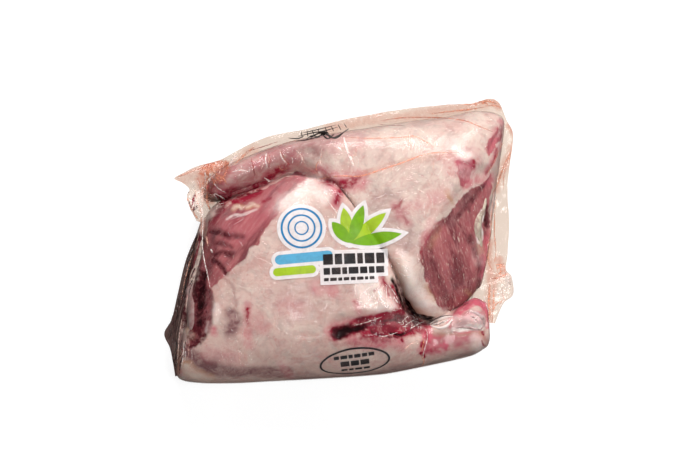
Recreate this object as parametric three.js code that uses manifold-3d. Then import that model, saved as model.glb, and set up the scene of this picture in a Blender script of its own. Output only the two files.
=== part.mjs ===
// Two raw hind shanks, laid head to tail and drawn tight in one clear vacuum bag.
// The bag lies flat: +X runs along the pack, +Y away from the viewer and +Z up.
// The origin is at the middle of the bag's footprint, on the surface that it rests on.
// Millimetres throughout.

import * as THREE from "three";
import Module from "manifold-3d";
import { mergeVertices } from "three/addons/utils/BufferGeometryUtils.js";

const wasm = await Module();
wasm.setup();

// ---- Driving dimensions -------------------------------------------------------------------

const TABLE_PRESS = 3; // how far the round undersides would sink, which the table flattens
const RINGS_PER_SPAN = 4; // rings between two stations of a shank
const RING_POINTS = 40; // points round one ring
const CAP_RINGS = 3; // rings that close a shank's end
const PRESSED = 0.8; // how far each shank is pushed into the other along the crease
const FILM_FLANGE = 1.2; // thickness of the two bag layers where they lie loose together
const FLANGE_STEPS = 3; // divisions of a flange between two stations, and across it
const STROKE_STEPS = 6; // straight steps that follow one span of a stroke's path

// A station is one slice across a shank. near and far are its ends in plan, top is its height,
// mid the height of its widest line, and square says how boxy its near and far shoulders are.
const FAR_SHANK = {
  capDepth: [2, 3],
  stations: [
    { near: [-83, 27], far: [-83, 35], top: 30, mid: 18, square: [2.4, 2.4] },
    { near: [-79, 25.5], far: [-79.5, 41], top: 38, mid: 19, square: [2.3, 2.4] },
    { near: [-70, 26.5], far: [-70, 47], top: 43, mid: 20, square: [2.3, 2.4] },
    { near: [-49, 33.5], far: [-51, 55], top: 45, mid: 21, square: [2.3, 2.4] },
    { near: [-32, 41.5], far: [-28, 61.5], top: 46, mid: 22, square: [2.3, 2.4] },
    { near: [-15.5, 37], far: [-3.5, 66], top: 51, mid: 23, square: [3.4, 2.4] },
    { near: [-0.5, 25], far: [21, 71], top: 56, mid: 24, square: [6.0, 2.4] },
    { near: [13, 4.5], far: [46, 75.5], top: 60, mid: 24, square: [7.5, 2.4] },
    { near: [27, -16], far: [67.5, 79], top: 62, mid: 24, square: [5.0, 2.4] },
    { near: [39, -39.5], far: [86, 80.5], top: 60, mid: 24, square: [3.4, 2.5] },
    { near: [54, -50.5], far: [95.5, 75.5], top: 53, mid: 23, square: [3.0, 2.6] },
    { near: [74.5, -40.5], far: [97.5, 62], top: 44, mid: 21, square: [2.8, 2.6] },
    { near: [86, -28], far: [95, 46], top: 36, mid: 20, square: [2.6, 2.6] },
  ],
};
const NEAR_SHANK = {
  capDepth: [4, 4],
  stations: [
    { near: [-98.5, -73], far: [-84, 14], top: 38, mid: 22, square: [2.6, 2.4] },
    { near: [-96, -84], far: [-78, 22], top: 47, mid: 24, square: [2.5, 2.4] },
    { near: [-85.5, -88.2], far: [-66.5, 27.5], top: 54, mid: 25, square: [2.4, 2.4] },
    { near: [-65.5, -88.8], far: [-48.5, 33.5], top: 58, mid: 26, square: [2.3, 2.6] },
    { near: [-45, -87.6], far: [-31.5, 40.5], top: 60, mid: 26, square: [2.3, 3.0] },
    { near: [-25, -86.4], far: [-15.5, 36], top: 61, mid: 26, square: [2.3, 4.5] },
    { near: [-5.5, -85], far: [-0.5, 24], top: 60, mid: 25, square: [2.3, 7.0] },
    { near: [13, -83.6], far: [13, 3.5], top: 58, mid: 24, square: [2.3, 7.5] },
    { near: [29, -81.8], far: [26.5, -17], top: 54, mid: 23, square: [2.3, 4.5] },
    { near: [44, -79.4], far: [38, -40], top: 47, mid: 22, square: [2.3, 2.6] },
    { near: [59, -77], far: [52, -50.5], top: 42, mid: 20, square: [2.3, 2.4] },
    { near: [72.5, -74.2], far: [67, -45], top: 39, mid: 18, square: [2.2, 2.4] },
    { near: [82.5, -71], far: [79.5, -37], top: 36, mid: 17, square: [2.3, 2.3] },
    { near: [87.5, -66], far: [87, -38.5], top: 29, mid: 16, square: [2.3, 2.2] },
  ],
};

// Strokes raise or sink the upper side along a path. reach is the half-width of the full
// height, and soft the distance over which it fades out.
const STROKES = [
  // the far shank's cut muscle lies below its rim of fat
  { path: [[87, 27], [77, 10], [66, -12], [62, -34]], reach: 12, soft: 8, lift: -3.2 },
  // that rim of fat bulges over the crease
  { path: [[31, -20], [38, -36], [50, -47], [66, -48]], reach: 3, soft: 9, lift: 3.2 },
  // the near shank's cut muscle
  { path: [[-24, 40], [-44, 27], [-62, 10], [-76, -14], [-84, -34]], reach: 10, soft: 8, lift: -2.8 },
  // a torn slit, full of blood, runs from the middle of the near shank to its narrow end
  { path: [[-4, -57], [14, -53], [32, -52], [44, -54]], reach: 2, soft: 10, lift: -4 },
  // the sheath of thin skin between the slit and the crease
  { path: [[22, -32], [30, -42]], reach: 4, soft: 8, lift: 2.2 },
  // the near shank steps down to its bare narrow end
  { path: [[53, -54], [55, -66], [53, -76]], reach: 1, soft: 9, lift: -2 },
  // the joint end of the bone
  { path: [[74, -46], [82, -48]], reach: 3, soft: 6, lift: 3.5 },
  // the far shank's joint end
  { path: [[-74, 36], [-60, 42]], reach: 4, soft: 8, lift: 2.5 },
];

// The bag's loose edge: two layers of film beyond the meat, clockwise from above. inner lies
// inside the meat, outer is the bag's edge, and rise is the outer edge's height.
const FLANGE_ROOT = 22; // height at which the loose edge leaves the meat
const LOOSE_EDGE = [
  { inner: [-72, 6], outer: [-89.5, 11.5], rise: 25 },
  { inner: [-70, 13], outer: [-94, 20.5], rise: 28 },
  { inner: [-69, 20], outer: [-95.5, 27], rise: 26 },
  { inner: [-68, 26], outer: [-93.5, 32], rise: 22 },
  { inner: [-67, 31], outer: [-101, 37.2], rise: 26 },
  { inner: [-64, 37], outer: [-89.5, 44.5], rise: 29 },
  { inner: [-58, 42], outer: [-74, 50.5], rise: 25 },
  { inner: [-53, 47], outer: [-58.5, 59], rise: 27 },
  { inner: [-39, 52], outer: [-44, 64.5], rise: 31 },
  { inner: [-22, 56], outer: [-24, 69], rise: 29 },
  { inner: [2, 61], outer: [1, 75], rise: 33 },
  { inner: [36, 68], outer: [36.5, 82.4], rise: 31 },
  { inner: [61, 72], outer: [61.5, 84.8], rise: 35 },
  { inner: [78, 73], outer: [81.5, 86.6], rise: 33 },
  { inner: [86, 71], outer: [91, 88.8], rise: 38 },
  { inner: [90, 68], outer: [98, 86.5], rise: 36 },
  { inner: [92, 63], outer: [103.5, 77.5], rise: 31 },
  { inner: [92, 55], outer: [108, 68], rise: 28 },
  { inner: [91, 40], outer: [106, 48.5], rise: 24 },
  { inner: [89, 26], outer: [105, 31.5], rise: 21 },
  { inner: [87, 12], outer: [106.5, 15], rise: 18 },
  { inner: [86, -4], outer: [105.5, -5.5], rise: 17 },
  { inner: [84, -15], outer: [104, -15.5], rise: 20 },
  { inner: [82, -22], outer: [107, -21], rise: 24 },
  { inner: [80, -29], outer: [108.3, -31.5], rise: 20 },
  { inner: [80, -38], outer: [101.5, -38], rise: 23 },
  { inner: [82, -48], outer: [96.5, -50], rise: 21 },
];
// A small tuck of film that stands out of the broad end.
const TUCK = [
  { inner: [-93, -82], outer: [-101.5, -84], rise: 19 },
  { inner: [-94, -75], outer: [-103, -76], rise: 20 },
  { inner: [-94, -66], outer: [-105, -67], rise: 19 },
  { inner: [-93, -57], outer: [-108.5, -57], rise: 18 },
  { inner: [-92, -48], outer: [-104.5, -48], rise: 20 },
  { inner: [-90, -33], outer: [-101, -32], rise: 22 },
  { inner: [-87, -14], outer: [-95.5, -13], rise: 24 },
];

// ---- Shape helpers ------------------------------------------------------------------------

const vector2 = ([x, y]) => new THREE.Vector2(x, y);
const spline = (points) => new THREE.SplineCurve(points.map(vector2));
const fade = (x) => THREE.MathUtils.smoothstep(x, 0, 1);

// How far a superellipse of half-width 1 reaches at an angle. A higher power is boxier.
const boxyRadius = (angle, power) =>
  (Math.abs(Math.cos(angle)) ** power + Math.abs(Math.sin(angle)) ** power) ** (-1 / power);

const strokes = STROKES.map((stroke) => ({
  ...stroke,
  trace: spline(stroke.path).getPoints(STROKE_STEPS * (stroke.path.length - 1)),
}));

function distanceTo(trace, x, y) {
  let nearest = Infinity;
  for (let i = 1; i < trace.length; i++) {
    const [a, b] = [trace[i - 1], trace[i]];
    const [dx, dy] = [b.x - a.x, b.y - a.y];
    const share = ((x - a.x) * dx + (y - a.y) * dy) / (dx * dx + dy * dy);
    const along = THREE.MathUtils.clamp(share, 0, 1);
    nearest = Math.min(nearest, Math.hypot(x - a.x - along * dx, y - a.y - along * dy));
  }
  return nearest;
}

function relief(x, y) {
  let height = 0;
  for (const { trace, reach, soft, lift } of strokes) {
    height += lift * fade(1 - (distanceTo(trace, x, y) - reach) / soft);
  }
  return height;
}

// A closed surface over rings of equally many points, with one point to close each end. Seen
// from the last ring, the points run anticlockwise.
function ringedGeometry(rings, firstPole, lastPole) {
  const count = rings[0].length;
  const points = [firstPole, ...rings.flat(), lastPole];
  const at = (ring, i) => 1 + ring * count + (i % count);
  const faces = [];
  for (let i = 0; i < count; i++) {
    faces.push(0, at(0, i + 1), at(0, i));
    for (let ring = 0; ring + 1 < rings.length; ring++) {
      faces.push(at(ring, i), at(ring + 1, i + 1), at(ring + 1, i));
      faces.push(at(ring, i), at(ring, i + 1), at(ring + 1, i + 1));
    }
    faces.push(points.length - 1, at(rings.length - 1, i), at(rings.length - 1, i + 1));
  }
  return new THREE.BufferGeometry().setFromPoints(points).setIndex(faces);
}

function toSolid(geometry) {
  const bare = new THREE.BufferGeometry().setIndex(geometry.index);
  bare.setAttribute("position", geometry.attributes.position);
  const merged = mergeVertices(bare, 1e-3);
  return new wasm.Manifold(
    new wasm.Mesh({
      numProp: 3,
      vertProperties: merged.attributes.position.array,
      triVerts: new Uint32Array(merged.index.array),
    }),
  );
}

function toGeometry(solid) {
  const { vertProperties, triVerts } = solid.getMesh();
  const geometry = new THREE.BufferGeometry();
  geometry.setAttribute("position", new THREE.BufferAttribute(vertProperties, 3));
  geometry.setIndex(new THREE.BufferAttribute(triVerts, 1));
  geometry.computeVertexNormals();
  return geometry;
}

// ---- The shanks ---------------------------------------------------------------------------

// One shank as a loft of its stations. creaseSide is -1 where the near ends of the stations
// lie in the crease, and 1 where the far ends do.
function shankSolid({ stations, capDepth }, creaseSide) {
  const near = spline(stations.map((s) => s.near));
  const far = spline(stations.map((s) => s.far));
  const heights = spline(stations.map((s) => [s.mid, s.top]));
  const shoulders = spline(stations.map((s) => s.square));
  const middle = (u) => near.getPoint(u).lerp(far.getPoint(u), 0.5);

  // scale shrinks the ring about its centre, and push moves it along the shank.
  const ringAt = (u, scale, push) => {
    const [a, b] = [near.getPoint(u), far.getPoint(u)];
    const { x: mid, y: top } = heights.getPoint(u);
    const { x: nearPower, y: farPower } = shoulders.getPoint(u);
    const half = a.distanceTo(b) / 2;
    return Array.from({ length: RING_POINTS }, (_, i) => {
      const angle = (2 * Math.PI * i) / RING_POINTS;
      const radius = boxyRadius(angle, Math.cos(angle) > 0 ? farPower : nearPower);
      const [across, up] = [Math.cos(angle) * radius, Math.sin(angle) * radius];
      const pressed = (creaseSide * Math.max(0, creaseSide * across) * PRESSED) / half;
      const plan = a.clone().lerp(b, (1 + (across + pressed) * scale) / 2).add(push);
      const height = up > 0 ? top - mid : mid + TABLE_PRESS;
      const lift = relief(plan.x, plan.y) * Math.max(0, up) * scale;
      return new THREE.Vector3(plan.x, plan.y, mid + up * height * scale + lift);
    });
  };

  // The rings that close one end, from the end's own ring outwards, and its last point.
  const capAt = (u, inwards, depth) => {
    const outwards = middle(u).sub(middle(inwards)).normalize();
    const rings = Array.from({ length: CAP_RINGS }, (_, i) => {
      const turn = ((i + 1) / (CAP_RINGS + 1)) * (Math.PI / 2);
      const push = outwards.clone().multiplyScalar(depth * Math.sin(turn) ** 0.7);
      return ringAt(u, Math.cos(turn) ** 0.7, push);
    });
    const tip = middle(u).addScaledVector(outwards, depth);
    return { rings, pole: new THREE.Vector3(tip.x, tip.y, heights.getPoint(u).x) };
  };

  const spans = (stations.length - 1) * RINGS_PER_SPAN;
  const body = Array.from({ length: spans + 1 }, (_, i) => ringAt(i / spans, 1, new THREE.Vector2()));
  const first = capAt(0, 1 / spans, capDepth[0]);
  const last = capAt(1, 1 - 1 / spans, capDepth[1]);
  const rings = [...first.rings.reverse(), ...body, ...last.rings];
  return toSolid(ringedGeometry(rings, first.pole, last.pole));
}

// ---- The bag's loose film -----------------------------------------------------------------

function flangeSolid(stations) {
  const inner = spline(stations.map((s) => s.inner));
  const outer = spline(stations.map((s) => s.outer));
  const rise = spline(stations.map((s) => [s.rise, 0]));
  const spans = (stations.length - 1) * FLANGE_STEPS;
  const ringAt = (i) => {
    const [a, b] = [inner.getPoint(i / spans), outer.getPoint(i / spans)];
    const edge = rise.getPoint(i / spans).x;
    const line = Array.from({ length: FLANGE_STEPS + 1 }, (_, j) => {
      const across = j / FLANGE_STEPS;
      const plan = a.clone().lerp(b, across);
      const z = THREE.MathUtils.lerp(FLANGE_ROOT, edge, fade(across));
      return new THREE.Vector3(plan.x, plan.y, z);
    });
    const half = new THREE.Vector3(0, 0, FILM_FLANGE / 2);
    const upper = line.map((point) => point.clone().add(half));
    const lower = line.map((point) => point.clone().sub(half));
    return [...lower, ...upper.reverse()];
  };
  const rings = Array.from({ length: spans + 1 }, (_, i) => ringAt(i));
  const centre = (ring) => {
    const sum = ring.reduce((total, point) => total.add(point), new THREE.Vector3());
    return sum.divideScalar(ring.length);
  };
  return toSolid(ringedGeometry(rings, centre(rings[0]), centre(rings[spans])));
}

// ---- The sealed bag -----------------------------------------------------------------------

const table = new THREE.BoxGeometry(400, 400, 50).translate(0, 0, -25);

const sealedBag = shankSolid(FAR_SHANK, -1)
  .add(shankSolid(NEAR_SHANK, 1))
  .add(flangeSolid(LOOSE_EDGE))
  .add(flangeSolid(TUCK))
  .subtract(toSolid(table));

const bagMaterial = new THREE.MeshStandardMaterial({
  color: 0xd6b3aa,
  roughness: 0.3,
  metalness: 0,
});

const bag = new THREE.Mesh(toGeometry(sealedBag), bagMaterial);
bag.name = "sealed_bag";

const pack = new THREE.Group();
pack.add(bag);

export default pack;
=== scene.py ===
"""Two raw hind shanks, head to tail in one clear vacuum bag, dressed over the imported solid.

Lengths are metres in the solid's own frame: +X along the pack, +Y away from the viewer, +Z up.
Marks on the meat and the film are placed where the camera sees them, in pixels of a picture
that is 700 pixels wide and 467 high, and a pixel is 0.62 mm on the pack.
"""

import math

import bpy
import numpy as np
from mathutils import Matrix, Vector
from mathutils.bvhtree import BVHTree


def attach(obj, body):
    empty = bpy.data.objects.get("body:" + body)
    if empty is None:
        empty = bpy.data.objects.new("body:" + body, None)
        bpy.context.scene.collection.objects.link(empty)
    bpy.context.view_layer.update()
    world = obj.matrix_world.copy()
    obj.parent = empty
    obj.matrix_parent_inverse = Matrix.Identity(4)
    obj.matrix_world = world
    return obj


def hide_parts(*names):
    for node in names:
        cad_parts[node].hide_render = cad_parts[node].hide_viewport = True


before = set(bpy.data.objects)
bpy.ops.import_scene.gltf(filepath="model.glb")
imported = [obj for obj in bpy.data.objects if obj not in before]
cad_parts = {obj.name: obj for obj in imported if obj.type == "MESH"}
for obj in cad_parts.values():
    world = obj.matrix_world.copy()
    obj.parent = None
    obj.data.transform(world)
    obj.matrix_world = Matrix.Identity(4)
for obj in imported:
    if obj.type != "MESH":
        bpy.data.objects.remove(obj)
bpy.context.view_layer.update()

MM = 0.001
BAG_NODE = "sealed_bag"

# ---- The picture that the camera takes ------------------------------------------------------

PICTURE = (700, 467)
PIXEL = 0.62 * MM
AIM = Vector((5.6, 4.6, 26)) * MM  # what the middle of the picture shows
AZIMUTH, ELEVATION = -30, 80  # the camera's direction from there, in degrees
DISTANCE = 1.6
SENSOR = 36  # width in mm


def camera_axes():
    """The camera's right, up and back directions. Up in the picture is the pack's +Y."""
    turn, rise = math.radians(AZIMUTH), math.radians(ELEVATION)
    level = Vector((math.sin(turn), -math.cos(turn), 0))
    back = level * math.cos(rise) + Vector((0, 0, math.sin(rise)))
    up = (Vector((0, 1, 0)) - back * back.y).normalized()
    return up.cross(back), up, back


RIGHT, UP, BACK = camera_axes()
EYE = AIM + BACK * DISTANCE


def make_camera():
    data = bpy.data.cameras.new("camera")
    data.sensor_width = SENSOR
    data.lens = SENSOR * DISTANCE / (PICTURE[0] * PIXEL)
    camera = bpy.data.objects.new("camera", data)
    camera.matrix_world = Matrix.Translation(EYE) @ Matrix((RIGHT, UP, BACK)).transposed().to_4x4()
    bpy.context.scene.collection.objects.link(camera)
    bpy.context.scene.camera = camera


def to_picture(points):
    """The pixels at which the camera sees points."""
    seen = (points - np.array(EYE)) @ np.array((RIGHT, UP, BACK)).T
    scale = DISTANCE / (PIXEL * -seen[:, 2:])
    return np.array(PICTURE) / 2 + seen[:, :2] * scale * (1, -1)


def ray_through(pixel):
    """The camera's line of sight through a pixel."""
    x, y = (pixel[0] - PICTURE[0] / 2) * PIXEL, (PICTURE[1] / 2 - pixel[1]) * PIXEL
    return (RIGHT * x + UP * y - BACK * DISTANCE).normalized()


# ---- Curves, distances and noise ------------------------------------------------------------

CURVE_STEPS = 6  # straight steps that follow one span of a curve


def curve_at(points, u):
    """Points of a smooth curve through the given points, at shares u of its length."""
    points = np.asarray(points, float)
    place = np.clip(u, 0, 1) * (len(points) - 1)
    start = np.minimum(place.astype(int), len(points) - 2)
    t = (place - start)[:, None]
    before, after = points[np.maximum(start - 1, 0)], points[np.minimum(start + 2, len(points) - 1)]
    a, b = points[start], points[start + 1]
    leaving, arriving = (b - before) / 2, (after - a) / 2
    cubic = 2 * a - 2 * b + leaving + arriving
    square = -3 * a + 3 * b - 2 * leaving - arriving
    return ((cubic * t + square) * t + leaving) * t + a


def smooth_path(points):
    """A curve through the given points, as straight steps."""
    return curve_at(points, np.linspace(0, 1, CURVE_STEPS * (len(points) - 1) + 1))


def fade(x):
    """A soft step from 0 to 1."""
    x = np.clip(x, 0, 1)
    return x * x * (3 - 2 * x)


def distance_to(path, places):
    """How far places in a plane lie from a path."""
    nearest = np.full(len(places), np.inf)
    for a, b in zip(path[:-1], path[1:]):
        run = b - a
        along = np.clip((places - a) @ run / max(run @ run, 1e-12), 0, 1)
        gap = places - a - along[:, None] * run
        nearest = np.minimum(nearest, np.hypot(gap[:, 0], gap[:, 1]))
    return nearest


def depth_inside(outline, places):
    """How far places lie inside a closed outline. It is below 0 outside."""
    path = np.vstack((outline, outline[:1]))
    inside = np.zeros(len(places), bool)
    for (ax, ay), (bx, by) in zip(path[:-1], path[1:]):
        crosses = (ay > places[:, 1]) != (by > places[:, 1])
        if ay != by:
            inside ^= crosses & (places[:, 0] < (bx - ax) * (places[:, 1] - ay) / (by - ay) + ax)
    return np.where(inside, 1, -1) * distance_to(path, places)


NOISE_VALUES = 4096
NOISE_SCATTER = (73856093, 19349663, 83492791)  # a large prime for each axis
NOISE_SHIFT = 100.5  # in cells, so that no cell's side lies on the pack's own axes


def noise_at(points, size, seed):
    """Smooth noise from -1 to 1, with bumps about size across."""
    table = np.random.default_rng(seed).uniform(-1, 1, NOISE_VALUES)
    cell = points / size + NOISE_SHIFT
    base = np.floor(cell).astype(np.int64)
    t = fade(cell - base)
    total = np.zeros(len(points))
    for corner in np.ndindex(2, 2, 2):
        corner = np.array(corner)
        weight = np.prod(np.where(corner, t, 1 - t), axis=1)
        key = (base + corner) @ np.array(NOISE_SCATTER)
        total += weight * table[key % len(table)]
    return total


WANDERS = ((15 * MM, 2.6), (5 * MM, 1.3), (2.2 * MM, 0.7))  # size, and reach in pixels
WANDER_SEED = 40


def ragged(pixels, points):
    """Pixels moved about a little, so that marks get natural edges."""
    moved = np.array(pixels)
    for i, (size, reach) in enumerate(WANDERS):
        for axis in (0, 1):
            moved[:, axis] += reach * noise_at(points, size, WANDER_SEED + 2 * i + axis)
    return moved


MARK_MARGIN = 2  # pixels round a mark that are looked at besides


def marks_at(pixels, marks):
    """The strength of soft marks at some pixels. A mark is a path with the half-width of its full
    strength, the width over which it fades, and that strength."""
    strength = np.zeros(len(pixels))
    for path, reach, soft, full in marks:
        path = np.array(path if len(path) > 1 else path * 2, float)
        margin = reach + soft + MARK_MARGIN
        near = np.all((pixels > path.min(0) - margin) & (pixels < path.max(0) + margin), axis=1)
        if not near.any():
            continue
        gap = distance_to(smooth_path(path), pixels[near])
        strength[near] = np.maximum(strength[near], full * fade(1 - (gap - reach) / soft))
    return strength


# ---- Meshes ---------------------------------------------------------------------------------


def mesh_object(name, points, faces, values=None):
    """A smooth object of points and faces. values holds one number a point under each name."""
    mesh = bpy.data.meshes.new(name)
    mesh.from_pydata(np.asarray(points).tolist(), [], faces)
    mesh.polygons.foreach_set("use_smooth", np.ones(len(mesh.polygons), bool))
    for key, numbers in (values or {}).items():
        set_values(mesh, key, numbers)
    piece = bpy.data.objects.new(name, mesh)
    bpy.context.scene.collection.objects.link(piece)
    return piece


def set_values(mesh, key, numbers):
    """Gives each point of a mesh a number, which its material reads by name."""
    layer = mesh.attributes.new(key, "FLOAT", "POINT")
    layer.data.foreach_set("value", np.asarray(numbers, np.float32))


def move_points(mesh, points):
    mesh.vertices.foreach_set("co", points.ravel())
    mesh.update()


def points_of(mesh):
    points = np.empty(len(mesh.vertices) * 3)
    mesh.vertices.foreach_get("co", points)
    return points.reshape(-1, 3)


def normals_of(mesh):
    normals = np.empty(len(mesh.vertices) * 3)
    mesh.vertex_normals.foreach_get("vector", normals)
    return normals.reshape(-1, 3)


def ringed_faces(rings, count):
    """Faces of a closed surface over rings of count points, with a pole before and after them."""
    faces = []
    for i in range(count):
        j = (i + 1) % count
        faces.append((0, 1 + j, 1 + i))
        for ring in range(rings - 1):
            here, there = 1 + ring * count, 1 + (ring + 1) * count
            faces.append((here + i, here + j, there + j, there + i))
        last = 1 + (rings - 1) * count
        faces.append((last + count, last + i, last + j))
    return faces


def dress(piece, material):
    piece.data.materials.append(material)


def with_poles(rings):
    """The points of some rings, with the middle of the first and the last ring as poles."""
    return np.vstack((rings[0].mean(0), rings.reshape(-1, 3), rings[-1].mean(0)))


# ---- The shanks' form -----------------------------------------------------------------------

TABLE_PRESS = 3 * MM  # how far the round undersides would sink, which the table flattens
CREASE_GAP = 0.1 * MM  # half the gap between the shanks
MEAT_REST = 0.5 * MM  # height of the meat's underside, which leaves room for the film
BODY_RINGS = 280
RING_POINTS = (248, 80)  # on the upper side, and on the underside
CAP_RINGS = 8
CAP_POWER = 0.7  # how blunt the ends are: 1 is round

# A station is one slice across a shank, in mm: its near and far ends in plan, its height, the
# height of its widest line, and how boxy its near and far shoulders are.
FAR_STATIONS = (
    ((-83, 27), (-83, 35), 30, 18, (2.4, 2.4)),
    ((-79, 25.5), (-79.5, 41), 38, 19, (2.3, 2.4)),
    ((-70, 26.5), (-70, 47), 43, 20, (2.3, 2.4)),
    ((-49, 33.5), (-51, 55), 45, 21, (2.3, 2.4)),
    ((-32, 41.5), (-28, 61.5), 48, 22, (2.8, 2.4)),
    ((-15.5, 37), (-3.5, 66), 55, 23, (6.0, 2.4)),
    ((-0.5, 25), (21, 71), 58, 24, (20.0, 2.4)),
    ((13, 4.5), (46, 75.5), 60, 24, (26.0, 2.4)),
    ((27, -16), (67.5, 79), 61, 24, (16.0, 2.4)),
    ((39, -39.5), (87.5, 82), 60, 24, (5.0, 2.6)),
    ((54, -50.5), (101, 78), 52, 23, (3.6, 3.0)),
    ((74.5, -40.5), (101, 62), 44, 21, (2.8, 2.8)),
    ((86, -28), (96.5, 46), 36, 20, (2.6, 2.6)),
)
FAR_CAPS = (2, 3)  # how far each end bulges, in mm
NEAR_STATIONS = (
    ((-100.8, -77), (-84, 14), 37, 21, (2.8, 2.4)),
    ((-99, -85.8), (-78, 22), 46, 22, (2.6, 2.4)),
    ((-86.5, -88.6), (-66.5, 27.5), 54, 24, (2.4, 2.4)),
    ((-65.5, -88.8), (-48.5, 33.5), 58, 26, (2.3, 2.6)),
    ((-45, -87.6), (-31.5, 40.5), 60, 26, (2.3, 3.2)),
    ((-25, -86.4), (-15.5, 36), 60, 26, (2.3, 5.0)),
    ((-5.5, -85), (-0.5, 24), 61, 25, (2.3, 20.0)),
    ((13, -83.6), (13, 3.5), 60, 24, (2.3, 26.0)),
    ((29, -81.8), (26.5, -17), 57, 23, (2.3, 16.0)),
    ((44, -78.8), (38, -40), 47, 22, (2.3, 2.8)),
    ((59, -75.4), (52, -50.5), 42, 20, (2.3, 2.4)),
    ((73, -72), (68, -43.5), 40, 18, (2.8, 3.6)),
    ((84, -68.8), (81, -35.5), 38, 17, (3.4, 4.4)),
    ((90.3, -65), (88.5, -36), 33, 16, (3.6, 4.4)),
)
NEAR_CAPS = (4, 3)

# Broad relief of the upper side, in mm: a path in plan, the half-width of its full height, the
# distance over which it fades, and the height.
RELIEF = (
    (((87, 27), (77, 10), (66, -12), (62, -34)), 12, 8, -3.2),
    (((31, -20), (38, -36), (50, -47), (66, -48)), 3, 9, 3.2),
    (((-24, 40), (-44, 27), (-62, 10), (-76, -14), (-84, -34)), 10, 8, -2.8),
    (((-4, -57), (14, -54), (32, -54), (44, -55)), 1, 8, -2.6),
    (((22, -32), (30, -42)), 4, 8, 2.2),
    (((53, -54), (55, -66), (53, -76)), 1, 9, -2),
    (((74, -46), (82, -48)), 3, 6, 3.5),
    (((-74, 36), (-60, 42)), 4, 8, 2.5),
)


def broad_relief(plan):
    height = np.zeros(len(plan))
    for path, reach, soft, lift in RELIEF:
        gap = distance_to(smooth_path(path), plan / MM)
        height += lift * MM * fade(1 - (gap - reach) / soft)
    return height


def loft(stations, caps, crease_side):
    """Points of one shank, ring by ring, with a pole before and after them, and how much each
    point faces up. crease_side is -1 where the near ends lie in the crease, and else 1."""
    shares = np.linspace(0, 1, BODY_RINGS)
    turns = np.arange(1, CAP_RINGS + 1) / (CAP_RINGS + 1) * math.pi / 2
    u = np.concatenate((np.zeros(CAP_RINGS), shares, np.ones(CAP_RINGS)))
    taper, bulge = np.cos(turns) ** CAP_POWER, np.sin(turns) ** CAP_POWER * MM
    scale = np.concatenate((taper[::-1], np.ones(BODY_RINGS), taper))
    push = np.concatenate((-caps[0] * bulge[::-1], np.zeros(BODY_RINGS), caps[1] * bulge))

    near = curve_at([s[0] for s in stations], u) * MM
    far = curve_at([s[1] for s in stations], u) * MM
    top, middle = (curve_at([s[2:4] for s in stations], u) * MM).T
    near_power, far_power = curve_at([s[4] for s in stations], u).T
    spine = (near + far) / 2
    body = spine[CAP_RINGS:-CAP_RINGS]
    heading = [h / np.hypot(*h) for h in (body[1] - body[0], body[-1] - body[-2])]
    pushes = np.where(push[:, None] < 0, heading[0], heading[1]) * push[:, None]

    upper, lower = (np.arange(count) / count * math.pi for count in RING_POINTS)
    angle = np.concatenate((upper, math.pi + lower))
    wave_across, wave_up = np.cos(angle)[None, :], np.sin(angle)[None, :]
    power = np.where(wave_across > 0, far_power[:, None], near_power[:, None])
    radius = (np.abs(wave_across) ** power + np.abs(wave_up) ** power) ** (-1 / power)
    across, up = wave_across * radius, wave_up * radius
    half = np.hypot(*(far - near).T)[:, None] / 2
    eased = -crease_side * np.maximum(0, crease_side * across) * CREASE_GAP / half
    share = (1 + (across + eased) * scale[:, None]) / 2
    plan = near[:, None] + (far - near)[:, None] * share[..., None] + pushes[:, None]
    reach = np.where(up > 0, top[:, None] - middle[:, None], middle[:, None] + TABLE_PRESS)
    facing = np.maximum(0, up) * scale[:, None]
    height = middle[:, None] + up * reach * scale[:, None]
    height += broad_relief(plan.reshape(-1, 2)).reshape(height.shape) * facing

    rings = np.dstack((plan, height)).reshape(-1, 3)
    first = [*(spine[0] + heading[0] * -caps[0] * MM), middle[0]]
    last = [*(spine[-1] + heading[1] * caps[1] * MM), middle[-1]]
    points = np.vstack((first, rings, last))
    return points, np.concatenate(([0], facing.ravel(), [0]))


# ---- Marks on the meat, in pixels -----------------------------------------------------------

# Cut muscle: one outline of the large cut on each shank, and smaller ones.
FAR_CUTS = (
    (
        (492, 174), (484, 183), (474, 188), (462, 196), (452, 206), (446, 215), (438, 226), (431, 233),
        (423, 243), (419, 253), (420, 266), (424, 280), (429, 292), (435, 304), (444, 312), (456, 313),
        (466, 305), (476, 291), (484, 274), (488, 258), (489, 236), (489, 214), (491, 196), (493, 184),
    ),
    ((457, 160), (475, 160), (476, 166), (471, 177), (464, 187), (460, 185), (457, 174)),
    ((498, 128), (505, 127), (502, 138), (497, 148), (490, 157), (487, 153), (488, 142), (492, 135)),
)
NEAR_CUTS = (
    (
        (295, 173), (302, 176), (307, 182), (303, 188), (292, 194), (283, 203), (277, 214), (270, 224),
        (262, 235), (257, 243), (248, 247), (245, 258), (237, 266), (228, 274), (219, 282), (212, 288),
        (212, 300), (211, 316), (206, 332), (198, 343), (189, 346), (189.5, 334), (190.5, 318),
        (192, 298), (197, 272), (204, 240), (209, 222), (222, 209), (240, 197), (262, 189), (280, 182),
    ),
    ((192, 252), (199, 236), (204, 240), (201, 256), (195, 270), (189, 284), (184, 294), (183, 282)),
)

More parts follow.
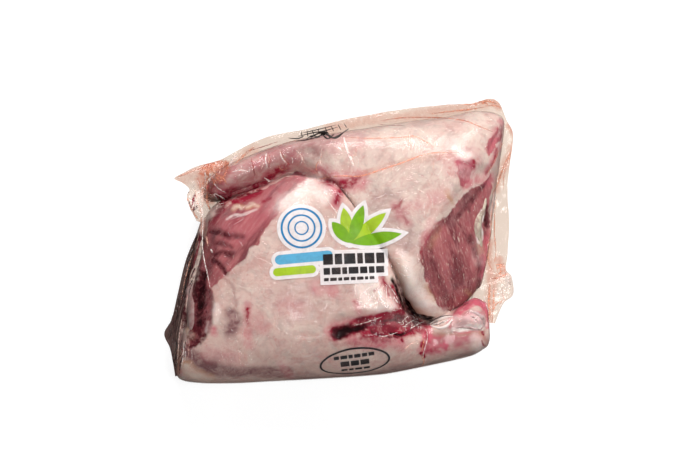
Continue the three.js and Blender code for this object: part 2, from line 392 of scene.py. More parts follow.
# Soft marks: path, half-width of full strength, width over which it fades, strength.
MARKS = {
    # mauve tint, and painted shade: the darker lower edge, a painted shadow in the lower-left corner and
    # shading right of the print
    "mauve_and_painted_shade": (  # mauve
        (((226, 176), (262, 166), (290, 158)), 4, 9, 0.45),
        (((262, 152), (300, 148), (330, 139)), 2, 9, 0.4),
        (((290, 160), (314, 158)), 2, 8, 0.4),
        (((284, 292), (304, 298), (338, 296)), 8, 18, 0.16),
        (((208, 202), (214, 206), (220, 212)), 3, 5, 0.5),
        (((220, 208), (230, 212)), 2, 5, 0.5),
        (((230, 314), (236, 320), (231, 330)), 1, 11, 0.85),
        (((226, 278), (232, 284), (236, 296), (237, 310)), 0.2, 3, 0.35),
        (((211, 296), (211, 312), (208, 330)), 0.8, 3, 0.7),
        # painted shadow in the lower-left corner, and painted shade along the lower edge
        (((190, 350), (200, 361), (214, 367)), 2, 9, 0.95),
        (((212, 368), (240, 372), (290, 373)), 2, 7, 0.7),
        (((266, 372), (330, 377), (420, 369), (470, 358)), 0.5, 8, 0.5),
        (((182, 336), (182, 352), (183, 366)), 2, 4, 0.3),
        (((394, 297), (402, 309)), 1, 4, 0.2),
        (((222, 186), (250, 178), (280, 166)), 4, 8, 0.3),
        (((432, 341), (450, 341), (470, 339)), 4, 6, 0.7),
        # painted shade on the fat right of the print
        (((382, 204), (396, 222), (408, 240)), 8, 18, 0.35),
        (((470, 196), (462, 208), (452, 222)), 2, 6, 0.4),
        (((456, 318), (468, 321)), 2, 4, 0.2),
    ),
    "pink": (
        (((215, 180), (240, 174), (268, 164), (292, 157)), 7, 12, 0.3),
        (((292, 152), (330, 146), (352, 142)), 5, 14, 0.2),
        (((218, 184), (240, 186), (262, 180), (286, 168)), 3, 8, 0.5),
        (((208, 184), (214, 190), (224, 193)), 4, 5, 0.75),
        (((318, 176), (340, 184), (356, 180)), 5, 12, 0.55),
        (((304, 178), (322, 178)), 3, 9, 0.4),
        (((338, 188), (336, 204)), 2, 8, 0.55),
        (((395, 206), (406, 222)), 2, 8, 0.3),
        (((452, 165), (470, 158)), 6, 12, 0.3),
        (((500, 122), (507, 130), (502, 148)), 1, 5, 0.4),
        (((460, 164), (471, 165), (466, 182)), 5, 5, 0.55),
        (((496, 132), (491, 150)), 3, 5, 0.4),
        (((498, 150), (493, 162), (486, 174)), 0.8, 4, 0.6),
        (((482, 180), (490, 180)), 3, 8, 0.45),
        (((400, 214), (418, 205), (440, 196)), 2, 9, 0.25),
        (((425, 240), (434, 222)), 1.5, 6, 0.4),
        (((484, 240), (487, 256), (484, 276)), 1, 5, 0.5),
        (((330, 334), (340, 327), (362, 320), (386, 316)), 1, 9, 0.55),
        (((352, 342), (376, 343), (400, 342)), 3, 8, 0.6),
        (((380, 278), (388, 292), (400, 308)), 1.5, 5, 0.4),
        (((457, 314), (467, 307), (477, 303), (484, 305)), 2.5, 3, 1.0),
        (((484, 304), (488, 314), (488, 326)), 2, 3, 0.7),
        (((455, 322), (466, 320), (482, 320)), 4, 6, 0.75),
        (((456, 332.5), (482, 332)), 0.6, 2, 0.7),
        (((424, 350), (434, 349), (444, 349)), 2.5, 7, 0.85),
        (((444, 349), (454, 348), (466, 347)), 1, 7, 0.4),
        (((428, 342), (450, 343), (478, 340)), 3, 8, 0.45),
        (((414, 326), (426, 328), (426, 342)), 3, 5, 0.7),
        (((482, 334), (485, 346)), 1.5, 5, 0.5),
        (((285, 306), (298, 310)), 4, 13, 0.2),
        (((258, 318), (262, 326)), 3, 10, 0.25),
        (((320, 288), (332, 290)), 3, 10, 0.4),
        (((213.5, 327), (214.5, 332)), 0.8, 5, 0.5),
        (((248, 304), (248, 345)), 1, 6, 0.4),
        (((206, 352), (240, 360)), 2, 10, 0.25),
        (((282, 366), (290, 376)), 1, 7, 0.3),
        (((354, 302), (358, 314)), 1, 5, 0.4),
        (((190, 282), (188, 292)), 1.5, 4, 0.4),
        (((179, 362), (181, 374)), 2, 4, 0.5),
        (((232, 230), (262, 214), (282, 196)), 8, 12, 0.2),
    ),
    "amber": (
        (((407, 302), (414, 311), (426, 316)), 1.5, 5, 0.6),
        (((190, 330), (192, 335)), 2, 3, 0.8),
        (((234, 209), (238, 205), (242, 206)), 1, 3, 0.75),
        (((246, 207), (252, 204), (257, 205)), 0.8, 3, 0.75),
        (((402, 290), (404, 296)), 0.5, 3, 0.4),
        (((424, 286), (432, 300)), 0.5, 4, 0.4),
        (((396, 262), (404, 284)), 0.5, 6, 0.25),
        (((446, 192), (452, 202)), 0.5, 4, 0.6),
        (((440, 230), (430, 246)), 0.5, 5, 0.3),
        (((481, 246), (482, 254)), 1.5, 4, 0.5),
        (((467, 294), (474, 297)), 1, 3, 0.5),
        (((434, 335), (452, 335), (476, 334)), 1, 3, 0.2),
        (((483, 332), (485, 344)), 1, 3, 0.4),
        # cream, and a painted highlight on the fat at the lower-left corner, with the pale mark of the
        # same place
        (((188, 366), (196, 374), (210, 378)), 3, 6, 0.7),
        (((179, 350), (179, 374)), 1.5, 4, 0.5),
    ),
    # pale sinew and fascia, and painted highlight: glare on the shoulder by the print, on the membrane
    # and on the fold at the upper right
    "white": (
        (((284, 207), (296, 197), (309, 190), (322, 196)), 2, 13, 0.55),
        (((300, 186), (316, 179)), 1.2, 4, 0.7),
        (((318, 174), (320, 180)), 0.5, 2, 0.7),
        (((227, 219), (236, 215), (246, 213), (256, 208)), 0.4, 1.8, 0.45),
        (((234, 208), (238, 205), (242, 207)), 0.3, 3, 0.3),
        (((246, 206), (252, 203), (257, 205)), 0.2, 3, 0.3),
        (((188, 368), (196, 376), (210, 379)), 2, 5, 0.4),
        (((206, 320), (206, 330)), 0.5, 2, 0.3),
        (((215, 306), (216, 318)), 2, 4, 0.35),
        (((456, 150), (462, 154), (470, 156)), 1, 7, 0.6),
        (((501, 130), (498, 136)), 0.3, 3, 0.3),
        (((362, 278), (366, 290), (374, 301), (388, 306)), 6, 9, 0.45),
        (((483, 212), (479, 226), (481, 243)), 2, 2, 0.75),
        (((378, 284), (380, 296)), 1, 4, 0.6),
        (((456, 329), (468, 328), (482, 329)), 2, 3, 0.6),
        (((458, 321), (472, 321), (484, 322)), 4, 5, 0.45),
        (((476, 342), (481, 346), (480, 352)), 3, 7, 0.45),
        (((190, 331), (192, 335)), 1, 3, 0.5),
        (((462, 170), (468, 172)), 4, 5, 0.2),
        (((478, 246), (480, 262)), 3, 6, 0.15),
        (((406, 264), (408, 276), (413, 289), (420, 301), (428, 308)), 2, 9, 0.4),
        (((428, 309), (436, 312), (444, 313)), 1, 5, 0.4),
    ),
    "blood": (
        # blood pooled along the crease under the knuckle, deepened as painted shade
        (((230, 192), (242, 191), (256, 185), (272, 175), (284, 169)), 0.5, 7, 0.9),
        (((222, 201), (232, 200), (244, 197), (257, 191)), 2, 4.5, 0.95),
        (((210, 194), (217, 197), (226, 198)), 1, 4, 0.7),
        (((262, 200), (266, 199), (271, 197)), 0.7, 2, 1.0),
        (((225, 204), (219, 213), (212, 222)), 1, 4, 0.6),
        (((237, 222), (239, 221.5)), 0.6, 2, 0.8),
        (((322, 182), (336, 183), (346, 182), (358, 178)), 0.8, 4.5, 0.85),
        (((340, 186), (348, 185), (353, 182)), 2, 4.5, 0.9),
        (((343, 186), (339, 196), (337, 203)), 0.8, 3.5, 0.9),
        (((393, 209), (399, 206), (402, 201)), 0.3, 3, 0.6),
        (((404, 217), (407, 224)), 0.3, 3, 0.45),
        (((508.5, 125), (509.5, 129)), 0.8, 2, 1.2),
        (((475, 161), (475.5, 166)), 0.3, 2, 0.7),
        (((499, 150), (494, 162), (487, 174)), 0.2, 2, 0.6),
        # the slit
        (((335, 335), (344, 332), (358, 328)), 2.5, 7, 1.2),
        (((354, 327), (366, 322), (382, 318), (398, 314)), 4, 5, 1.2),
        (((366, 329), (388, 329), (410, 327)), 7, 5, 1.1),
        (((396, 314), (408, 319), (420, 327)), 4, 6, 0.95),
        (((360, 338), (376, 341), (394, 340)), 0.6, 4, 0.5),
        (((402, 339), (403, 340)), 0.8, 2, 1.0),
        (((336, 345), (356, 344)), 0.5, 4, 0.3),
        # red threads over the crease
        (((382.5, 275), (385, 283), (388.5, 294)), 0.4, 2.4, 0.85),
        (((384, 280), (379, 287), (373.5, 291)), 0.2, 2, 0.6),
        (((383, 276), (377, 279), (371, 280)), 0.2, 2, 0.5),
        (((386, 286), (391, 288)), 0.2, 2, 0.5),
        (((380, 268), (383, 275)), 0.3, 2.4, 0.6),
        (((372, 270), (381, 273)), 0.2, 2, 0.45),
        (((394, 286), (399, 298), (406, 309)), 2, 5, 0.75),
        (((247.6, 309), (248, 325)), 0.3, 3.2, 0.85),
        (((353.5, 302), (354, 303)), 0.3, 1.5, 0.9),
        (((422, 343), (422, 346)), 0.8, 2, 1.0),
        (((421.5, 354), (422.5, 358)), 0.8, 2, 1.0),
        (((426, 328), (425, 340)), 0.4, 2.2, 0.6),
        (((426, 344), (427, 352), (436, 350)), 0.5, 5, 0.4),
        (((484, 333), (484.5, 335)), 0.4, 1.5, 0.9),
        (((483, 342), (484, 346)), 0.2, 1.5, 0.6),
        (((420, 258), (424, 240), (436, 226)), 0.3, 3, 0.5),
        (((463, 315), (469, 313)), 0.3, 2, 0.5),
    ),
    # dark plum tissue, and painted shade in the muscle's folds, in the slit and down the broad end's
    # side
    "plum_and_painted_shade": (
        (((209, 232), (219, 233), (227, 236)), 0.3, 5, 0.85),
        (((228, 238), (234, 236), (241, 237)), 0.3, 5, 0.65),
        (((210, 243), (220, 244), (229, 247)), 0.3, 5, 0.6),
        (((212, 255), (221, 254), (229, 255)), 0.3, 5, 0.85),
        (((211, 259), (220, 265), (228, 273)), 0.3, 4, 0.9),
        (((208, 224), (208, 250), (206, 275)), 3, 9, 0.45),
        (((200, 276), (200, 300), (198, 318), (195, 336)), 4, 6, 0.9),
        (((184, 296), (184, 310), (183, 326)), 2, 4, 0.9),
        (((180, 320), (180, 345)), 1, 4, 0.6),
        (((198, 240), (192, 260), (185, 284)), 3, 5, 0.85),
        (((191, 344), (198, 343), (205, 334)), 0.8, 3, 0.8),
        (((222, 204), (218, 212), (212, 222)), 0.6, 4, 0.5),
        (((335, 335), (346, 331), (362, 326)), 1.2, 6, 1.0),
        (((366, 325), (382, 320), (397, 319)), 0.2, 2.2, 0.8),
        (((369, 328), (374, 334), (386, 337), (400, 336), (412, 330)), 0.2, 2.2, 0.7),
        (((378, 329), (388, 326), (398, 328)), 0.2, 2.4, 0.5),
        (((380, 333), (386, 330)), 0.2, 2, 0.4),
        (((360, 321), (370, 322), (382, 323)), 1.5, 5, 0.65),
        (((374, 329), (384, 331), (392, 330)), 2, 5, 0.5),
        (((398, 317), (408, 320), (416, 324)), 2.5, 4, 0.6),
        (((400, 300), (406, 307), (414, 315)), 0.5, 3, 0.5),
        (((484, 186), (478, 194), (468, 206), (458, 216)), 0.6, 4, 0.6),
        (((479, 190), (474, 200), (470, 212)), 0.3, 2, 0.55),
        (((487, 207), (486, 216), (485.5, 226)), 0.8, 2, 0.75),
        (((470, 236), (474, 246), (478, 256)), 0.8, 5, 0.5),
        (((432, 262), (436, 286), (446, 304)), 2, 9, 0.4),
        (((460, 262), (458, 284)), 2, 9, 0.3),
        (((454, 313), (459, 308), (466, 305)), 0.1, 1.8, 0.5),
    ),
    # near-black red: blood, and painted shade deep in the slits, the crease and down the broad end's
    # side
    "dark": (
        (((201, 274), (199.5, 290), (198.5, 306), (197.5, 324)), 1.2, 4, 0.75),
        (((184, 286), (179, 305), (177, 330), (177, 352), (177, 368)), 0.3, 3, 0.6),
        (((226, 199), (242, 196), (256, 190)), 0.1, 3, 0.4),
        (((340, 335), (347, 331)), 0.5, 8, 1.15),
        (((347, 331), (362, 326)), 0, 4.5, 0.9),
        (((344, 332), (360, 327.5)), 0.1, 5, 0.9),
        (((392, 333.5), (400, 334), (408, 332)), 0.2, 1.6, 1.0),
        (((392, 279), (399, 291), (407, 304), (416, 315), (434, 321)), 0.5, 3, 1.0),
        (((479, 238), (481, 241)), 0.3, 1.4, 0.4),
    ),
}


CUT_STEP = 1.0 * MM  # how far the cut muscle lies below the fat round it
CUT_EASE = 6  # pixels inside a cut's outline over which it steps down
MARK_HEIGHTS = {"dark": -1.0 * MM, "plum_and_painted_shade": -0.6 * MM, "white": 0.4 * MM}
LUMPS = ((24 * MM, 0.6 * MM), (9 * MM, 0.3 * MM), (4 * MM, 0.12 * MM))  # size and height
SIDE_DEPTH = -20  # a depth inside cut muscle that stands for none, on the underside
SHOWN_FACING = 0.12  # how far up a point faces where it has its full marks


def painted(points, cuts, shown):
    """The marks at some points, as numbers for the material. shown is 0 where none belongs."""
    pixels = ragged(to_picture(points), points)
    cut = np.max([depth_inside(np.array(outline, float), pixels) for outline in cuts], axis=0)
    values = {"cut": SIDE_DEPTH + (cut - SIDE_DEPTH) * shown}
    return values | {mark: marks_at(pixels, strokes) * shown for mark, strokes in MARKS.items()}


def make_shank(name, stations, caps, crease_side, cuts):
    """A lofted shank, with its marks painted and sunk or raised a little."""
    points, facing = loft(stations, caps, crease_side)
    shown = fade(facing / SHOWN_FACING)
    values = painted(points, cuts, shown)
    faces = ringed_faces(BODY_RINGS + 2 * CAP_RINGS, sum(RING_POINTS))
    shank = mesh_object(name, points, faces, values)
    lift = -CUT_STEP * fade(values["cut"] / CUT_EASE)
    for mark, height in MARK_HEIGHTS.items():
        lift += height * values[mark]
    for seed, (size, height) in enumerate(LUMPS):
        lift += height * noise_at(points, size, seed + len(name))
    points += normals_of(shank.data) * (lift * shown)[:, None]
    points[:, 2] = np.maximum(points[:, 2], MEAT_REST)
    move_points(shank.data, points)
    return shank


# ---- The film -------------------------------------------------------------------------------

FILM_VOXEL = 1.1 * MM
FILM_CLEARANCE = 0.35 * MM  # between the film and the meat
FILM_SMOOTHINGS, FILM_PULLS = 3, 150  # rounds that even the film out, and that draw it tight
PULL_SHARE = 0.9  # of the way to where the film is tight that a round goes
FLOOR_GAP = 0.1 * MM

# Stains, milky creases with painted glare, and dull places of the film, in pixels, as the marks on the
# meat are.
FILM_MARKS = {
    "calm": (
        (((330, 336), (342, 333), (360, 327)), 6, 6, 1),
        (((200, 275), (198, 300), (197, 328)), 4, 4, 1),
        (((388, 275), (396, 290), (406, 304), (418, 316), (434, 321)), 4, 4, 1),
        (((222, 197), (240, 195), (258, 188), (276, 176), (290, 168)), 4, 4, 0.9),
        (((390, 333), (408, 333)), 2, 3, 0.8),
        (((364, 328), (388, 327), (408, 324)), 5, 5, 0.7),
    ),
    "stain": (
        (((184, 176), (200, 172), (212, 166)), 3, 9, 0.2),
        (((202, 180), (206, 190), (208, 200)), 2, 6, 0.6),
        (((206, 172), (214, 166), (226, 168), (220, 178)), 3, 5, 0.8),
        (((236, 160), (256, 148)), 2, 6, 0.2),
        (((202, 222), (206, 240), (207, 258)), 1, 4, 0.3),
        (((330, 128), (380, 119), (430, 114), (484, 104)), 2, 7, 0.22),
        (((470, 103), (486, 101), (497, 104)), 1.5, 4, 0.35),
        (((512, 146), (504, 170), (497, 190)), 1.5, 5, 0.25),
        (((489, 244), (490, 262), (491, 278)), 2, 5, 0.35),
        (((490, 280), (490, 300), (490, 322)), 2, 5, 0.3),
        (((500, 262), (503, 270), (498, 280)), 2, 4, 0.3),
        (((360, 176), (404, 162), (456, 153)), 0.8, 5, 0.3),
        (((510, 127), (515, 134)), 1, 4, 0.4),
    ),
    # milky film, and painted glare: beside the print, at the top and on the fold by the curl
    "milk_and_painted_glare": (
        (((196, 200), (200, 214)), 5, 9, 0.5),
        (((188, 172), (196, 180)), 4, 8, 0.4),
        (((508, 276), (509, 286)), 2.5, 4, 0.8),
        (((500, 300), (508, 294)), 4, 7, 0.4),
        (((456, 150), (466, 156)), 2, 5, 0.5),
        (((404, 142), (418, 148)), 6, 10, 0.1),
        (((280, 205), (300, 190), (316, 192)), 8, 14, 0.35),
        (((178, 345), (181, 372)), 2, 5, 0.15),
        (((364, 284), (374, 290)), 4, 8, 0.4),
        (((297, 337), (323, 335)), 0.3, 2, 0.6),
        (((300, 354), (320, 352)), 0.3, 2, 0.4),
        (((436, 322), (450, 318)), 2, 3, 0.7),
        (((392, 318), (420, 322)), 3, 8, 0.25),
    ),
}


def remeshed(parts, voxel):
    """The outer surface of some closed pieces together: points, faces and edges."""
    points, faces = [], []
    for part in parts:
        shift = sum(len(p) for p in points)
        points.append(points_of(part.data))
        faces += [[shift + v for v in face.vertices] for face in part.data.polygons]
    joined = mesh_object("joined", np.vstack(points), faces)
    modifier = joined.modifiers.new("voxels", "REMESH")
    modifier.mode, modifier.voxel_size = "VOXEL", voxel
    bpy.context.view_layer.update()
    result = joined.evaluated_get(bpy.context.evaluated_depsgraph_get()).to_mesh()
    found = points_of(result), [tuple(face.vertices) for face in result.polygons]
    edges = np.array([edge.vertices[:] for edge in result.edges])
    bpy.data.objects.remove(joined)
    return (*found, edges)


def neighbour_mean(points, edges):
    """For each point, the middle of those that it shares an edge with."""
    ends = np.concatenate((edges[:, 0], edges[:, 1]))
    others = np.concatenate((edges[:, 1], edges[:, 0]))
    count = np.maximum(np.bincount(ends, minlength=len(points)), 1)
    sums = [np.bincount(ends, points[others, k], len(points)) for k in range(3)]
    return np.array(sums).T / count[:, None]


def stretched(film, edges):
    """Points of film drawn tight: it leaves hollows and never sinks into what it covers."""
    points = points_of(film.data)
    for _ in range(FILM_SMOOTHINGS):
        points = (points + neighbour_mean(points, edges)) / 2
    move_points(film.data, points)
    normals = normals_of(film.data)
    points += normals * FILM_CLEARANCE
    for _ in range(FILM_PULLS):
        move = neighbour_mean(points, edges) - points
        outward = np.maximum(0, np.einsum("ij,ij->i", move, normals))
        points += normals * outward[:, None] * PULL_SHARE
    return points


def make_film(meat):
    """The tight film round the meat."""
    points, faces, edges = remeshed(meat, FILM_VOXEL)
    film = mesh_object("bag_film", points, faces)
    points = stretched(film, edges)
    points[:, 2] = np.maximum(points[:, 2], FLOOR_GAP)
    move_points(film.data, points)
    paint_film(film, normals_of(film.data) @ np.array(BACK) > 0)
    return film


def paint_film(piece, seen):
    """Stains and creases on film. seen is 1 where the camera sees it, and else 0."""
    points = points_of(piece.data)
    pixels = ragged(to_picture(points), points)
    for name, strokes in FILM_MARKS.items():
        set_values(piece.data, name, marks_at(pixels, strokes) * seen)


# ---- The bag's loose edge -------------------------------------------------------------------

FLANGE_ROOT = 22 * MM  # height at which it leaves the meat
FLANGE_THICK = 0.45 * MM  # both layers, with the air between them
FLANGE_THINNING = 0.6  # how much thinner they are at the outer edge
FLANGE_STEPS, FLANGE_ACROSS = 10, 12  # divisions along one span, and across
FLANGE_WAVES = ((9 * MM, 1), (4 * MM, 0.6))  # size and share of the waves that crumple it
FLANGE_WAVE_RISE = 1.5  # the waves reach their full height at 1 / 1.5 of the way across

# Slices across the loose edge: inner end in the meat, outer edge, and the edge's height, in mm.
LOOSE_EDGE = (
    ((-72, 6), (-89.5, 11.5), 25),
    ((-70, 13), (-94, 20.5), 28),
    ((-69, 20), (-95.5, 27), 26),
    ((-68, 26), (-94, 31.5), 22),
    ((-67.4, 29), (-98, 35), 24),
    ((-67, 31), (-103.5, 37.6), 26),
    ((-66, 33), (-97.5, 41), 28),
    ((-64, 37), (-89.5, 45), 29),
    ((-58, 42), (-74, 50.5), 25),
    ((-53, 47), (-58.5, 59), 27),
    ((-39, 52), (-44, 64.5), 31),
    ((-22, 56), (-24, 69), 29),
    ((2, 61), (1, 75), 33),
    ((36, 68), (36.5, 82.4), 31),
    ((61, 72), (61.5, 84.8), 35),
    ((78, 73), (81.5, 86.6), 33),
    ((86, 71), (91, 88.8), 38),
    ((90, 68), (98, 86.5), 36),
    ((92, 63), (103.5, 77.5), 31),
    ((92, 55), (108, 68), 28),
    ((91, 40), (106, 48.5), 24),
    ((89, 26), (105, 31.5), 21),
    ((87, 12), (106.5, 15), 18),
    ((86, -4), (105.5, -5.5), 17),
    ((84, -15), (104, -15.5), 20),
    ((82, -22), (107, -21), 24),
    ((80, -29), (108.3, -31.5), 20),
    ((80, -38), (101.5, -38), 23),
    ((82, -48), (96.5, -50), 21),
)
TUCK = (
    ((-93, -82), (-101.5, -84.5), 19),
    ((-94, -75), (-103, -76), 20),
    ((-94, -66), (-105, -67), 19),
    ((-93, -57), (-108.5, -58), 18),
    ((-92, -48), (-104, -49), 20),
    ((-90, -33), (-100.6, -34), 22),
    ((-87, -14), (-95.8, -13), 24),
    ((-82, 4), (-88.6, 5), 25),
)


def make_flange(name, stations, crumple, seed):
    """Two layers of film beyond the meat, closed along their outer edge."""
    u = np.linspace(0, 1, (len(stations) - 1) * FLANGE_STEPS + 1)
    inner = curve_at([s[0] for s in stations], u) * MM
    outer = curve_at([s[1] for s in stations], u) * MM
    edge = curve_at([s[2:] for s in stations], u) * MM
    across = np.linspace(0, 1, FLANGE_ACROSS + 1)
    plan = inner[:, None] + (outer - inner)[:, None] * across[:, None]
    height = FLANGE_ROOT + (edge - FLANGE_ROOT) * fade(across)
    sheet = np.dstack((plan, height))
    flat = sheet.reshape(-1, 3)
    wave = sum(share * noise_at(flat, size, seed + i) for i, (size, share) in enumerate(FLANGE_WAVES))
    sheet[..., 2] += crumple * wave.reshape(height.shape) * fade(across * FLANGE_WAVE_RISE)
    half = np.array((0, 0, FLANGE_THICK / 2)) * (1 - FLANGE_THINNING * across[:, None] ** 4)
    rings = np.concatenate((sheet - half, (sheet + half)[:, ::-1]), axis=1)
    piece = mesh_object(name, with_poles(rings), ringed_faces(*rings.shape[:2]))
    paint_film(piece, 1)
    return piece


# ---- Folds in the film ----------------------------------------------------------------------

# A fold's section: shares of its half-width and of its height. Its feet lie below the film.
FOLD_SECTION = ((-1, -0.6), (-0.9, 0.1), (-0.5, 0.75), (0, 1), (0.5, 0.75), (0.9, 0.1), (1, -0.6))
FOLD_SINK, STRAND_SINK = 0.03 * MM, 0.15 * MM
FOLD_HEIGHT = 0.45  # of the height in the tables below, which is how high the film would stand
